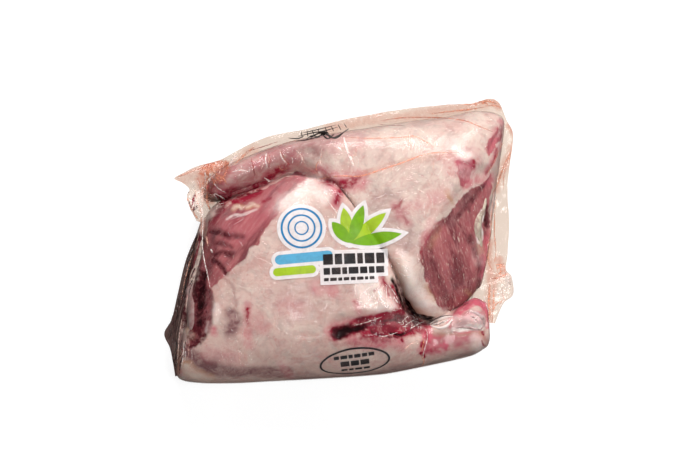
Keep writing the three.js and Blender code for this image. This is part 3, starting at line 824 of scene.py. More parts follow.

# Folds: path in pixels, half-width and height in mm, and tone: -0.5 solid white, 0 clear white,
# 0.5 amber, 1 dark red, 1.5 brown. The white tones also paint the glints that folds catch, and the
# brown one is painted shade.
FOLDS = (
    # over the knuckle and the fat, across the pack
    (((343.5, 136), (347, 150), (354, 166)), 0.9, 0.8, 0),
    (((336.5, 146.5), (340, 149), (342, 151)), 0.6, 0.5, 0),
    (((266.6, 152), (265.5, 160), (267.7, 168.5)), 0.5, 0.6, 0),
    (((280, 152), (282, 158), (287, 164)), 0.5, 0.5, 0.1),
    (((264, 177.7), (269, 181), (273.5, 180.5)), 0.7, 0.6, 0),
    (((251, 158), (253, 166), (255, 176)), 0.45, 0.5, 0.85),
    (((268.5, 153), (270, 160), (268, 168)), 0.35, 0.4, 0.8),
    (((281, 150), (284, 158), (290, 165)), 0.4, 0.4, 0.8),
    (((277, 164), (282, 170), (288, 168)), 0.35, 0.35, 0.7),
    (((245, 152), (262, 147), (280, 141)), 0.3, 0.3, 0.9),
    (((232, 172), (240, 170), (250, 172)), 0.4, 0.4, 0),
    (((296, 150), (302, 158), (300, 166)), 0.4, 0.4, 0.2),
    (((322, 156), (316, 166), (318, 174)), 0.3, 0.3, 0.6),
    (((322, 148), (320, 160), (321, 166)), 0.35, 0.35, 0.2),
    (((410, 131), (409.5, 140), (411, 150)), 0.6, 0.5, 0.25),
    (((405, 141), (408, 148)), 0.5, 0.4, 0),
    (((415, 140), (412, 149)), 0.5, 0.4, 0),
    (((437, 141), (437, 147)), 0.5, 0.4, 0),
    (((456.5, 148.6), (460, 152), (466, 156)), 1.0, 0.6, 0),
    # amber lines along the far edge
    (
        ((345, 137), (362, 138), (380, 138), (404, 137), (414, 136), (428, 143), (434, 148)),
        0.4, 0.3, 0.5,
    ),
    (
        ((313, 180), (338, 176), (360, 176), (380, 170), (404, 162), (426, 154), (447, 152),
         (458, 152.4)),
        0.45, 0.3, 0.55,
    ),
    (
        ((380, 120.8), (400, 118), (418, 117.5), (447, 118), (466, 121), (480, 126.6), (493, 132)),
        0.5, 0.35, 0.7,
    ),
    (((378, 124), (392, 125.5), (404, 125.5)), 0.35, 0.25, 0.85),
    (((430, 114), (455, 111), (470, 109.5), (485, 107)), 0.7, 0.4, 0.45),
    (((468, 105.5), (478, 102.5), (488, 101), (497, 104)), 0.7, 0.5, 0.45),
    (((485, 106), (496.7, 106), (503.6, 110), (508, 116.5), (509.3, 124)), 0.35, 0.3, 0.5),
    (((255, 156), (265, 151), (274.6, 147.8), (285, 143.5), (295, 141), (314.8, 139)), 0.35, 0.3, 0.8),
    # the right edge
    (((512.8, 125.6), (517, 130), (516.4, 136.3), (512.8, 142.4)), 0.4, 0.4, 0.8),
    (
        ((515.8, 137), (511.3, 150), (505, 163.8), (500.6, 175), (496.7, 186.7), (492, 194.3)),
        0.6, 0.5, 0.5,
    ),
    (((511.3, 151.5), (507, 163.8), (504, 175.2), (503.2, 190.5)), 0.4, 0.4, 0.4),
    (((499, 150), (494.4, 161.5), (486.8, 173.7)), 0.4, 0.3, 0.75),
    (((493, 196), (492, 212), (490.6, 230), (489, 243), (488.3, 261.5), (492, 269)), 0.5, 0.4, 0.55),
    (((497, 196), (495, 208), (494.4, 231.7), (495.2, 243), (496, 254.7), (493.7, 263)), 0.45, 0.4, 0.6),
    (((488.3, 279), (495.2, 278.3), (503.6, 275.3), (511, 270.7)), 0.3, 0.3, 0.7),
    (((496.7, 268.4), (501.3, 264.6), (506.7, 263.8)), 0.3, 0.3, 0.65),
    (((499.8, 258.5), (500.5, 269), (499.8, 280)), 0.3, 0.3, 0.55),
    (((511, 271), (510, 280), (510.5, 286)), 0.5, 0.5, 0.2),
    (((506, 274), (508, 280), (507, 288)), 0.7, 0.6, 0),
    (((490, 282), (489, 300), (490, 320)), 0.8, 0.5, 0.45),
    (((494, 282), (493.5, 300), (492, 322)), 0.5, 0.4, 0.5),
    (((484, 296), (486, 304), (489, 312)), 0.6, 0.5, 0),
    # the crumpled ear
    (((228.6, 165.7), (233.4, 158.7), (237.7, 155.5)), 0.9, 0.8, 0),
    (((205, 171.6), (205.5, 180.2), (203.9, 185.5)), 0.9, 0.8, 0.1),
    (((209.8, 173.2), (210.3, 178), (209.3, 182.3)), 1.1, 0.9, 0),
    (((199.6, 190.9), (202, 188), (204.8, 189), (203, 192.5)), 0.5, 0.5, 0.1),
    (((214, 183.4), (218.4, 188.7), (226.4, 193)), 0.5, 0.5, 0.1),
    (((213, 192.5), (221.6, 197.3), (224.8, 199.4)), 0.6, 0.5, 0),
    (((205, 168), (208, 173), (206, 180), (207, 190)), 0.8, 0.6, 0.6),
    (
        ((211, 162), (218, 159), (225, 160), (227, 168), (224, 176), (219, 179), (214.6, 180)),
        0.7, 0.7, 0.7,
    ),
    (((211, 165), (214, 172), (219, 177)), 0.7, 0.6, 0.6),
    (((216, 163), (220, 168), (219, 174)), 0.6, 0.6, 0.3),
    (((206.6, 192), (207, 201), (210, 210)), 0.8, 0.6, 0.6),
    (((187, 196), (189.5, 207), (198, 219)), 0.7, 0.5, 0.4),
    (((195, 188), (197, 200), (201, 214), (201, 228)), 0.5, 0.5, 0.3),
    (((199, 200), (202, 210), (203, 218)), 0.7, 0.5, 0.1),
    (((232, 166), (240, 159), (247, 153), (254, 147)), 0.8, 0.5, 0.4),
    (((178, 177), (190, 172), (202, 167)), 0.6, 0.4, 0.35),
    # down the broad end
    (((202, 197), (203, 215), (202.5, 232), (202.5, 247), (204.2, 260), (207.4, 274.5), (210, 288)),
     0.45, 0.5, 0.05),
    (((206, 236), (207, 241), (208, 246)), 0.6, 0.5, 0.35),
    (((210.5, 249.2), (212.6, 252.4)), 0.6, 0.4, 0),
    (((199, 234), (194, 250), (188, 268), (184, 284), (181, 300)), 0.5, 0.4, 0.35),
    (((182, 318), (179, 336), (178, 352), (177, 366)), 0.6, 0.5, 0.25),
    (((184, 340), (183, 356), (181, 370)), 0.4, 0.4, 0.1),
    # across the print, and by the crease and the slit
    (((322, 193), (333, 208), (347, 227), (360, 244), (375, 262)), 0.35, 0.35, 0),
    (((379, 297), (384, 303)), 0.6, 0.5, 0),
    (((381, 284), (373, 296), (363, 309)), 0.3, 0.4, 0),
    (((383, 285), (379, 298), (375, 312)), 0.3, 0.4, 0.05),
    (((386, 286), (387, 298), (388, 309)), 0.3, 0.4, 0),
    (((388, 284), (395, 294), (400, 304)), 0.3, 0.4, 0),
    (((379, 282), (369, 288), (360, 296)), 0.25, 0.4, 0),
    (((386, 304), (392, 309)), 0.6, 0.5, 0),
    (((394, 297), (398, 303)), 0.6, 0.5, 0),
    (((372, 292), (376, 300)), 0.5, 0.4, 0),
    (((402, 322), (407, 317), (413, 315)), 0.25, 0.3, 0),
    (((403, 327), (412, 321), (421, 318)), 0.25, 0.3, 0),
    (((410, 329), (418, 324), (425, 321)), 0.3, 0.3, 0),
    (((378, 337), (388, 335.5), (398, 332)), 0.25, 0.3, 0.1),
    (((352, 326), (366, 322.5), (382, 317)), 0.25, 0.3, 0.15),
    (((431, 324.5), (441, 322.5), (450, 318.5)), 1.3, 0.6, -0.25),
    (((430, 323.5), (437, 320), (445, 317.5), (453, 316.5)), 1.0, 1.6, -0.5),
    (((430, 325), (439, 328), (447, 325.5), (452.5, 318.5)), 1.0, 1.6, -0.5),
    # dark brown lines in the crease under the curl: painted shade
    (((430, 322), (437, 318.3), (445, 315.8), (453, 315)), 0.3, 0.6, 1.5),
    (((434, 325), (441, 323.5), (448, 319.5)), 0.2, 1.2, 1.5),
    (((446, 326.5), (450, 323.5), (453.5, 320.5)), 0.3, 0.6, 1.2),
    (((396, 262), (402, 266), (409, 269)), 0.2, 0.3, 0),
    (((398, 272), (405, 276), (412, 277)), 0.18, 0.3, 0),
    (((394, 258), (402, 259), (410, 262)), 0.18, 0.3, 0),
    (((356, 300), (362, 303), (372, 306)), 0.25, 0.3, 0),
    (((357, 276), (355, 286), (356, 298)), 0.25, 0.3, 0),
    (((426, 328), (427.5, 338), (425, 348), (423, 358), (426, 365)), 0.3, 0.3, 0.15),
    (((424, 338), (423, 346), (421.5, 352)), 0.5, 0.4, 0.6),
    (((422, 356), (424, 362), (421, 367)), 0.5, 0.4, 0.4),
    (((404, 350), (410, 345), (418, 340)), 0.3, 0.25, 0.3),
)
# Crumpled places: middle and reach in pixels, folds, their heading and its spread, half-width in
# mm, length in pixels, and tone.
CRUMPLES = (
    ((214, 172), (10, 10), 18, 65, 50, 0.4, 8, 0.6),
    ((214, 170), (9, 9), 12, 75, 40, 0.3, 7, 0.05),
    ((199, 196), (6, 14), 18, 100, 30, 0.3, 9, 0.15),
    ((214, 202), (8, 7), 10, 40, 60, 0.3, 8, 0.1),
    ((191, 204), (4, 9), 12, 100, 25, 0.5, 10, 1.35),
    ((208, 184), (6, 10), 10, 95, 30, 0.4, 8, 0.75),
    ((502, 272), (7, 9), 16, 20, 80, 0.35, 7, 0.5),
    ((498, 300), (6, 12), 10, 100, 40, 0.3, 8, 0.3),
    ((508, 150), (6, 14), 8, 115, 20, 0.3, 9, 0.4),
    ((410, 322), (11, 8), 22, 35, 60, 0.16, 5, 0),
    ((396, 303), (7, 9), 14, 50, 50, 0.16, 6, 0.05),
    ((368, 288), (9, 12), 9, 70, 50, 0.16, 9, 0),
    ((276, 160), (18, 8), 6, 95, 25, 0.3, 9, 0.1),
    ((414, 144), (16, 6), 8, 95, 30, 0.25, 8, 0.05),
    ((478, 103), (14, 2), 8, 10, 30, 0.35, 8, 0.5),
    ((186, 350), (6, 16), 8, 95, 15, 0.2, 10, 0.2),
    ((470, 322), (12, 6), 6, 10, 40, 0.2, 7, 0.05),
    ((350, 160), (90, 20), 16, 95, 40, 0.12, 14, 0.15),
    ((260, 325), (40, 32), 14, 90, 25, 0.1, 18, 0.2),
    ((450, 190), (30, 40), 8, 60, 60, 0.12, 12, 0.1),
    # dark brown folds on the tucked side: painted shade of the side wall behind the film
    ((176, 330), (8, 34), 30, 100, 12, 0.4, 16, 1.5),
    ((190, 265), (4, 26), 12, 112, 8, 0.4, 16, 1.5),
)
CRUMPLE_SEED = 5
CRUMPLE_SPAN = (0.6, 1.4)  # how far a fold's length and width go from those in the table
CRUMPLE_BEND, CRUMPLE_TONE = 0.25, 0.2  # the same for its bend, as a share of it, and its tone

# A crumpled mark on the far edge: strokes of ink with their half-width in mm.
INK_STROKES = (
    (((296, 141), (305.6, 139.8), (314.8, 137.5), (322, 134.5)), 0.85),
    (((310, 138.5), (317, 134), (326, 132.5), (332, 137.5), (339, 135), (349, 128.5)), 0.8),
    (((322, 134), (328, 138.5), (334, 134)), 0.6),
    (((316, 138), (324, 134), (331, 136.5)), 0.9),
    (((306, 139.5), (312, 136), (320, 137)), 0.6),
    (((329, 136.5), (336, 138), (343, 133)), 0.5),
    (((288, 138), (298, 138.5), (304, 136)), 0.4),
    (((298, 136.5), (312, 133), (324, 131), (338, 127)), 0.4),
    (((302, 133), (318, 129.5), (336, 125)), 0.3),
    (((301, 131), (302.5, 138)), 0.3),
    (((307, 130.5), (308, 137)), 0.3),
    (((312, 130), (314, 135)), 0.3),
    (((318, 128.5), (319, 134)), 0.3),
    (((325, 127), (327, 132.5)), 0.3),
    (((331, 126), (334, 131.5)), 0.3),
    (((338, 124.5), (341, 130)), 0.3),
    (((344, 123.5), (347, 128)), 0.25),
)
INK_HEIGHT = 0.2  # in mm

# Raised strands on the meat: path in pixels, half-width and height in mm, and tone: 0 cream,
# 0.3 pale pink, 0.6 bright pink, 1 lilac grey.
STRANDS = (
    # the tendon down the broad end
    (((202, 240), (199.5, 256), (196, 270), (190.5, 287)), 3.8, 1.4, 0.14),
    (((193, 279), (190.5, 294), (190, 312), (191, 330)), 3.8, 1.1, 1.0),
    # beside the muscle at the right
    (((486, 198), (484.5, 207), (482, 217)), 1.7, 0.9, 0.05),
    (((483.5, 210), (479, 220), (478.5, 232), (482, 247)), 3.2, 1.3, 0),
    # the bone end: its wet rim, the tongue and the lower rim
    (
        ((454, 311), (459, 306), (466, 303), (475, 299), (482, 302), (486.5, 311), (487.5, 322)),
        1.6, 0.9, 0.62,
    ),
    (((468.5, 311), (475, 312.5), (481.5, 317), (484, 324), (480.5, 330)), 1.5, 1.1, 0.28),
    (((470, 316), (475, 318), (478, 322)), 0.8, 0.6, 0.3),
    (((455, 328), (464, 327), (474, 328.5), (481, 330)), 1.1, 0.7, 0.25),
    # on the muscle of the broad end
    (((228, 221), (237, 217), (246, 215), (256, 209)), 0.5, 0.3, 0.4),
    (((232, 219), (240, 215.5), (250, 212), (257, 211)), 0.4, 0.25, 0.3),
    (((231, 226), (240, 221), (246, 217)), 0.35, 0.25, 0.45),
)


class Skin:
    """The outermost surface of some pieces. A hit on it is a place and the direction it faces."""

    def __init__(self, pieces):
        graph = bpy.context.evaluated_depsgraph_get()
        self.trees = [BVHTree.FromObject(piece, graph) for piece in pieces]

    def meet(self, start, heading):
        """Where a straight line first meets the surface, or None."""
        hits = [tree.ray_cast(start, heading) for tree in self.trees]
        hits = [hit for hit in hits if hit[0] is not None]
        return min(hits, key=lambda hit: hit[3])[:2] if hits else None

    def at(self, pixel):
        """What the camera sees at a pixel."""
        return self.meet(EYE, ray_through(pixel))


def as_arrays(hits):
    """The places of some hits, and the directions that they face."""
    return (np.array([tuple(hit[k]) for hit in hits]) for k in (0, 1))


RIDGE_SMOOTHINGS = 3  # rounds that even out the directions along a ridge
RIDGE_TIP, RIDGE_POWER = 0.03, 0.7  # how small and how blunt its ends are


def ridge_on(skin, path, half_width, height, sink):
    """Points and faces of a low closed ridge on a surface, along a path of pixels."""
    hits = [hit for hit in map(skin.at, smooth_path(path)) if hit]
    if len(hits) < 3:
        return np.empty((0, 3)), []
    places, normals = as_arrays(hits)
    for _ in range(RIDGE_SMOOTHINGS):
        normals[1:-1] = (normals[:-2] + normals[1:-1] + normals[2:]) / 3
    normals /= np.linalg.norm(normals, axis=1)[:, None]
    side = np.cross(np.gradient(places, axis=0), normals)
    side /= np.linalg.norm(side, axis=1)[:, None]
    run = np.linspace(RIDGE_TIP, 1 - RIDGE_TIP, len(places))[:, None]
    taper = np.sin(np.pi * run) ** RIDGE_POWER
    rows = [
        places + side * x * half_width * taper + normals * (y * height * taper - sink)
        for x, y in FOLD_SECTION
    ]
    rings = np.stack(rows, axis=1)
    return with_poles(rings), ringed_faces(*rings.shape[:2])


def crumpled_paths():
    """Short random folds: path, half-width and height in mm, and tone."""
    draw = np.random.default_rng(CRUMPLE_SEED)
    for middle, reach, count, heading, spread, half_width, length, tone in CRUMPLES:
        for _ in range(count):
            start = np.array(middle) + draw.uniform(-1, 1, 2) * reach
            turn = math.radians(heading + draw.uniform(-spread, spread))
            run = np.array((math.cos(turn), math.sin(turn))) * length * draw.uniform(*CRUMPLE_SPAN)
            bend = np.array((-run[1], run[0])) * draw.uniform(-CRUMPLE_BEND, CRUMPLE_BEND)
            path = (start - run / 2, start + bend, start + run / 2)
            wide = half_width * draw.uniform(*CRUMPLE_SPAN)
            yield path, wide, wide, max(0, tone + draw.uniform(-CRUMPLE_TONE, CRUMPLE_TONE))


def make_ridges(name, skin, ridges, sink, tall=1):
    """Many ridges in one piece. A ridge is a path, its half-width and height in mm, and tone.
    tall is the share of that height that it gets."""
    points, faces, tones = [], [], []
    for path, half_width, height, tone in ridges:
        found, rows = ridge_on(skin, path, half_width * MM, height * tall * MM, sink)
        faces += [tuple(len(tones) + v for v in row) for row in rows]
        points.append(found)
        tones += [tone] * len(found)
    return mesh_object(name, np.vstack(points), faces, {"tone": tones})


# ---- The membrane over the crease -----------------------------------------------------------

# Along the crease, from the left: pixel, half-width in pixels, and depth under the film in mm.
MEMBRANE = (
    ((220, 198), 4, 1.6),
    ((230, 197), 5, 1.8),
    ((242, 194), 5, 1.8),
    ((258, 187), 5, 1.6),
    ((272, 178), 5, 1.2),
    ((288, 169), 6, 0.7),
    ((304, 168), 8, 0.5),
    ((316, 176), 9, 0.5),
    ((330, 190), 10, 0.5),
    ((342, 205), 9, 0.5),
    ((356, 224), 8, 0.5),
    ((370, 246), 7, 0.6),
    ((383, 262), 6, 1.2),
    ((393, 279), 5, 2.4),
    ((403, 296), 4.5, 3.4),
    ((412, 308), 4.5, 3.4),
    ((424, 317), 4.5, 2.4),
    ((440, 319), 4.5, 1.2),
    ((453, 314), 4, 0.7),
    ((463, 308), 3, 0.7),
    ((471, 302), 2.5, 1.0),
)
MEMBRANE_ACROSS = 18  # divisions across
MEMBRANE_NEAR = 1.8  # how much wider it is on the near side
MEMBRANE_FLUSH = 0.5 * MM  # depth under the film at the near side
MEMBRANE_RISE = 1.2  # it is flush from 1 / 1.2 of the way across
MEMBRANE_EDGE, MEMBRANE_THICK = 2.2 * MM, 2.5 * MM  # how far its edges dip, and its thickness


def make_membrane(name, skin, cuts):
    """Closes the crease flush with the meat. Its edges run down into the meat."""
    path = smooth_path([pixel for pixel, *_ in MEMBRANE])
    half, deep = np.hsplit(smooth_path([sizes for _, *sizes in MEMBRANE]), 2)
    run = np.gradient(path, axis=0)
    across = np.column_stack((-run[:, 1], run[:, 0])) / np.hypot(*run.T)[:, None] * half
    shares = np.linspace(-1, MEMBRANE_NEAR, MEMBRANE_ACROSS + 1)
    rise = (shares[None] + 1) / (1 + MEMBRANE_NEAR)
    pixels = (path[:, None] + across[:, None] * shares[None, :, None]).reshape(-1, 2)
    hits = [skin.at(pixel) for pixel in pixels]
    for i, hit in enumerate(hits):
        hits[i] = hit or hits[i - 1]  # a miss takes its neighbour's place
    places, normals = as_arrays(hits)
    depth = deep * MM + (MEMBRANE_FLUSH - deep * MM) * fade(rise * MEMBRANE_RISE)
    depth = (depth + MEMBRANE_EDGE * np.abs(2 * rise - 1) ** 6).reshape(-1, 1)
    shape = (len(path), len(shares), 3)
    upper = (places - normals * depth).reshape(shape)
    lower = (places - np.array(BACK) * (depth + MEMBRANE_THICK)).reshape(shape)
    rings = np.concatenate((upper, lower[:, ::-1]), axis=1)
    points = with_poles(rings)
    return mesh_object(name, points, ringed_faces(*rings.shape[:2]), painted(points, cuts, 1))


# ---- The print on the film ------------------------------------------------------------------

PRINT_STEP = 0.5 * MM
PRINT_LIFT = 0.12 * MM
PRINT_START = 40 * MM  # height over the film from which the patch is laid down on it
PRINT_REACH = -1  # depth inside an ink, in mm, from which the patch has a surface
PRINT_FEELERS = ((-24, 0, 24), (-10, 0, 10))  # pixels round its middle that give the film's slope
PRINT_TEAR = 5 * PRINT_STEP  # a face that is stretched over more is left out
PRINT_MARGIN = 2.2  # white round the coloured shapes, in mm

LABEL_MIDDLE, LABEL_TURN, LABEL_SIZE = (337, 241), 3, (92, 56)
RINGS_MIDDLE = (-21, 9)
RINGS = ((12, 1.3), (8, 1.1), (4, 0.9))  # radius and line
LEAF_ROOT = (8, -1.5)
LEAVES = (("green", 8, 32), ("lime", 38, 29), ("green", 68, 25), ("lime", 98, 22), ("green", 128, 17))
LEAF_WIDTH = 7.5
BARS = (("sky", (-35, -10), (-6, -8.5), 6), ("lime", (-37, -17.5), (-16, -16.5), 5))
ROWS = (  # middle height, block height, gap and blocks
    (-11, 6.5, 1.1, (6, 4.5, 7, 3.5, 6, 5)),
    (-18.2, 4.2, 0.9, (4, 5.5, 3, 6, 4.5, 3.5, 5)),
    (-23.2, 2, 0.8, (3, 4, 2.5, 3.5, 3, 4, 2, 3)),
)
ROWS_START = -9

STAMP_MIDDLE, STAMP_TURN, STAMP_SIZE = (355, 363), 7, (46, 25)
STAMP_HALF = np.array((21, 10.5))
STAMP_LINE = 1.3
STAMP_ROWS = (  # middle height, block height, gap and blocks
    (5.4, 2.6, 0.8, (3.2, 4.2, 2.6, 4, 3.2, 3.6)),
    (0, 4.2, 0.9, (5.4, 5, 5.4)),
    (-5.4, 2, 0.9, (3.8, 2.8, 4.4, 3.8)),
)


def bar(places, start, end, width):
    """How far each place lies inside a bar with round ends."""
    return width / 2 - distance_to(np.array((start, end), float), places)


def leaf(places, root, turn, length):
    """A leaf shape between two arcs, from its root."""
    turn = math.radians(turn)
    way = np.array((math.cos(turn), math.sin(turn)))
    radius = (length**2 + LEAF_WIDTH**2) / (4 * LEAF_WIDTH)
    middle = np.array(root) + way * length / 2
    across = np.array((-way[1], way[0])) * (radius - LEAF_WIDTH / 2)
    reaches = [radius - np.hypot(*(places - middle - across * side).T) for side in (-1, 1)]
    return np.minimum(*reaches)


def block_rows(places, rows, start):
    """Rows of plain blocks. start is where the first block begins, or None for centred rows."""
    inside = np.full(len(places), -np.inf)
    for height, tall, gap, blocks in rows:
        left = start if start is not None else -(sum(blocks) + gap * (len(blocks) - 1)) / 2
        for wide in blocks:
            room = np.array((wide, tall)) / 2 - np.abs(places - (left + wide / 2, height))
            inside = np.maximum(inside, room.min(axis=1))
            left += wide + gap
    return inside


def label_inks(places):
    """How far each place lies inside each ink of the label, in mm."""
    radius = np.hypot(*(places - RINGS_MIDDLE).T)
    inks = {"blue": np.max([line / 2 - np.abs(radius - reach) for reach, line in RINGS], axis=0)}
    shapes = [(ink, leaf(places, LEAF_ROOT, turn, length)) for ink, turn, length in LEAVES]
    shapes += [(ink, bar(places, start, end, width)) for ink, start, end, width in BARS]
    for ink, inside in shapes:
        inks[ink] = np.maximum(inks.get(ink, -np.inf), inside)
    inks["black"] = block_rows(places, ROWS, ROWS_START)
    disc = RINGS[0][0] - radius
    inks["white"] = np.max([*inks.values(), disc], axis=0) + PRINT_MARGIN
    return inks


def stamp_inks(places):
    """The same for the oval stamp."""
    share = np.hypot(*(places / STAMP_HALF).T)
    steep = np.hypot(*(places / STAMP_HALF**2).T) / np.maximum(share, 1e-3)
    oval = STAMP_LINE / 2 - np.abs(share - 1) / np.maximum(steep, 1e-3)
    return {"black": np.maximum(oval, block_rows(places, STAMP_ROWS, None))}


def print_axes(skin, middle, turn):
    """The directions across, up and away from the film, for print that is turned in the picture."""
    steps = [(x, y) for x in PRINT_FEELERS[0] for y in PRINT_FEELERS[1]]
    feelers = [skin.at((middle[0] + x, middle[1] + y)) for x, y in steps]
    normal = sum((hit[1] for hit in feelers if hit), Vector()).normalized()
    turn = math.radians(turn)
    across = RIGHT * math.cos(turn) + UP * math.sin(turn)
    across = (across - normal * across.dot(normal)).normalized()
    return across, normal.cross(across), normal


def make_print(name, skin, middle, turn, size, inks):
    """A patch of print laid on the film round a pixel. inks gives the depth inside each ink."""
    origin, _ = skin.at(middle)
    across, up, normal = print_axes(skin, middle, turn)
    columns, rows = (np.arange(-length / 2, length / 2, PRINT_STEP / MM) for length in size)
    flat = np.array([(x, y) for y in rows for x in columns])
    values = inks(flat)
    shown = np.max(list(values.values()), axis=0) > PRINT_REACH
    points = np.zeros((len(flat), 3))
    for i in np.flatnonzero(shown):
        start = origin + (across * flat[i, 0] + up * flat[i, 1]) * MM + normal * PRINT_START
        hit = skin.meet(start, -normal)
        shown[i] = hit is not None
        if hit:
            points[i] = hit[0] + hit[1] * PRINT_LIFT

    grid = np.arange(len(flat)).reshape(len(rows), len(columns))
    corners = (grid[:-1, :-1], grid[:-1, 1:], grid[1:, 1:], grid[1:, :-1])
    faces = np.stack(corners, axis=-1).reshape(-1, 4)
    spans = np.linalg.norm(points[faces[:, 0]] - points[faces[:, 2]], axis=1)
    faces = faces[shown[faces].all(1) & (spans < PRINT_TEAR)]
    used, faces = np.unique(faces, return_inverse=True)
    faces = faces.reshape(-1, 4).tolist()
    return mesh_object(name, points[used], faces, {key: v[used] for key, v in values.items()})


# ---- Materials ------------------------------------------------------------------------------


def shade(*screen):
    """A colour given as red, green and blue as they show on a screen, from 0 to 255."""
    shares = (value / 255 for value in screen)
    return (*(((s + 0.055) / 1.055) ** 2.4 if s > 0.04 else s / 12.92 for s in shares), 1)


class Paint:
    """A material whose nodes are written as expressions."""

    def __init__(self, name):
        self.material = bpy.data.materials.new(name)
        self.material.use_nodes = True
        self.tree = self.material.node_tree
        self.tree.nodes.clear()

    def add(self, kind, inputs=None, **settings):
        node = self.tree.nodes.new("ShaderNode" + kind)
        for key, value in settings.items():
            setattr(node, key, value)
        for key, value in (inputs or {}).items():
            if isinstance(value, bpy.types.NodeSocket):
                self.tree.links.new(value, node.inputs[key])
            else:
                node.inputs[key].default_value = value
        return node

    def value(self, attribute):
        """A number that the piece's points carry."""
        return self.add("Attribute", attribute_name=attribute).outputs["Fac"]

    def place(self, turn=0, stretch=(1, 1, 1)):
        """The point on the object, turned about Z and stretched."""
        where = self.add("TexCoord").outputs["Object"]
        turned = self.add("Mapping", {"Vector": where, "Rotation": (0, 0, math.radians(turn))})
        return self.add("Mapping", {"Vector": turned.outputs[0], "Scale": stretch}).outputs[0]

    def noise(self, size, detail=3, rough=0.5, warp=0, place=None):
        inputs = {"Scale": 1 / size, "Detail": detail, "Roughness": rough, "Distortion": warp}
        inputs["Vector"] = place or self.place()
        return self.add("TexNoise", inputs).outputs["Fac"]

    def maths(self, operation, a, b=0):
        return self.add("Math", {0: a, 1: b}, operation=operation).outputs[0]

    def sum(self, a, b):
        return self.maths("ADD", a, b)

    def less(self, a, b):
        return self.maths("SUBTRACT", a, b)

    def times(self, a, b):
        return self.maths("MULTIPLY", a, b)

    def ramp(self, value, start, end, low=0, high=1):
        """A soft step from low to high, as value goes from start to end."""
        inputs = {"Value": value, "From Min": start, "From Max": end, "To Min": low, "To Max": high}
        return self.add("MapRange", inputs, interpolation_type="SMOOTHSTEP").outputs["Result"]

    def mix(self, share, a, b):
        """Colour a, and colour b by a share."""
        node = self.add("Mix", {0: share}, data_type="RGBA")
        for socket, colour in ((node.inputs[6], a), (node.inputs[7], b)):
            if isinstance(colour, bpy.types.NodeSocket):
                self.tree.links.new(colour, socket)
            else:
                socket.default_value = colour
        return node.outputs[2]

    def layered(self, colour, *layers):
        """A colour with others laid over it. A layer is a colour, the number that it follows, and
        that number's start and end, with how far the layer covers at each of them."""
        for tone, value, *steps in layers:
            colour = self.mix(self.ramp(value, *steps), colour, tone)
        return colour

    def bump(self, height, strength, distance):
        inputs = {"Height": height, "Strength": strength, "Distance": distance}
        return self.add("Bump", inputs).outputs[0]

    def blend(self, share, first, second):
        """A shader that is first, and second by a share."""
        node = self.add("MixShader", {0: share})
        self.tree.links.new(first.outputs[0], node.inputs[1])
        self.tree.links.new(second.outputs[0], node.inputs[2])
        return node

    def finish(self, shader):
        output = self.add("OutputMaterial")
        self.tree.links.new(shader.outputs[0], output.inputs["Surface"])
        return self.material


BLACK, WHITE = (0, 0, 0, 1), (1, 1, 1, 1)
DEPTH_SHARE = 0.24  # of the light that the meat swallows
WET = {  # the parts of tissue's shader that fat, muscle and sinew share
    "Subsurface Weight": 0.1,
    "Subsurface Radius": (0.006, 0.002, 0.0012),
}
FAT = shade(250, 230, 217)
FAT_WARM = shade(244, 214, 203)
FAT_COOL = shade(208, 182, 174)
MUSCLE = shade(188, 104, 108)
MUSCLE_PALE = shade(216, 150, 147)
MUSCLE_DARK = shade(136, 62, 70)
MUSCLE_DULL = shade(160, 104, 112)
FLECK = shade(244, 212, 198)
CAPILLARY = shade(216, 138, 138)
FLUSHED = shade(216, 162, 154)
# Tones of the marks: the mauve, plum and near-black ones are partly painted shade, the white one partly
# painted highlight.
TONES = (  # mark, colour and how broken up it is, in the order in which they are laid on
    ("mauve_and_painted_shade", shade(144, 98, 100), 1.0),
    ("pink", shade(222, 106, 124), 1.4),
    ("amber", shade(216, 160, 126), 1.4),
    ("white", shade(255, 244, 238), 1.4),
    ("blood", shade(160, 22, 52), 1.5),
    ("plum_and_painted_shade", shade(88, 14, 28), 1.4),
    ("dark", shade(30, 1, 5), 0.8),
)


def fat_colour(paint, grain_turn, flush, mottle, blotch, fine):
    """Pale outer fat: warm and cool patches, with fine blood vessels."""
    broad = paint.noise(28 * MM, 4, 0.55, 0.6)
    patches = paint.noise(13 * MM, 4, 0.6, 1.4, paint.place(grain_turn + 60, (1, 0.6, 1)))
    colour = paint.layered(
        FAT,
        (FAT_WARM, broad, 0.4, 0.6),
        (FLUSHED, broad, 0.58, 0.38, flush * 0.4, flush),
        (FAT_COOL, mottle, 0.46, 0.64, 0, 0.6),
        (FAT_WARM, blotch, 0.5, 0.7, 0, 0.4),
        (FLUSHED, patches, 0.52, 0.66, 0, 0.45),
        (FAT, patches, 0.46, 0.34, 0, 0.5),
        (CAPILLARY, fine, 0.56, 0.72, 0, 0.4),
    )
    side = paint.ramp(paint.less(paint.noise(11 * MM, 6, 0.65, 1.2), 0.5), -0.02, 0.02)
    vessel = paint.times(side, paint.less(1, side))
    return paint.mix(paint.times(vessel, 1.5), colour, CAPILLARY)


def muscle_colour(paint, grain_turn, marbling, mottle, grain, streaks):
    """Cut muscle: dark and pale fibres along the grain, with flecks of fat."""
    flecks = paint.noise(1.3 * MM, 2, 0.5, 0.6, paint.place(grain_turn, (1, 0.26, 0.5)))
    return paint.layered(
        MUSCLE_DARK,
        (MUSCLE, streaks, 0.32, 0.62),
        (MUSCLE_PALE, grain, 0.44, 0.72, 0, 0.3 + 0.5 * marbling),
        (MUSCLE_DULL, mottle, 0.5, 0.75, 0, 0.5),
        (FLECK, flecks, 0.62, 0.72, 0, marbling),
    )


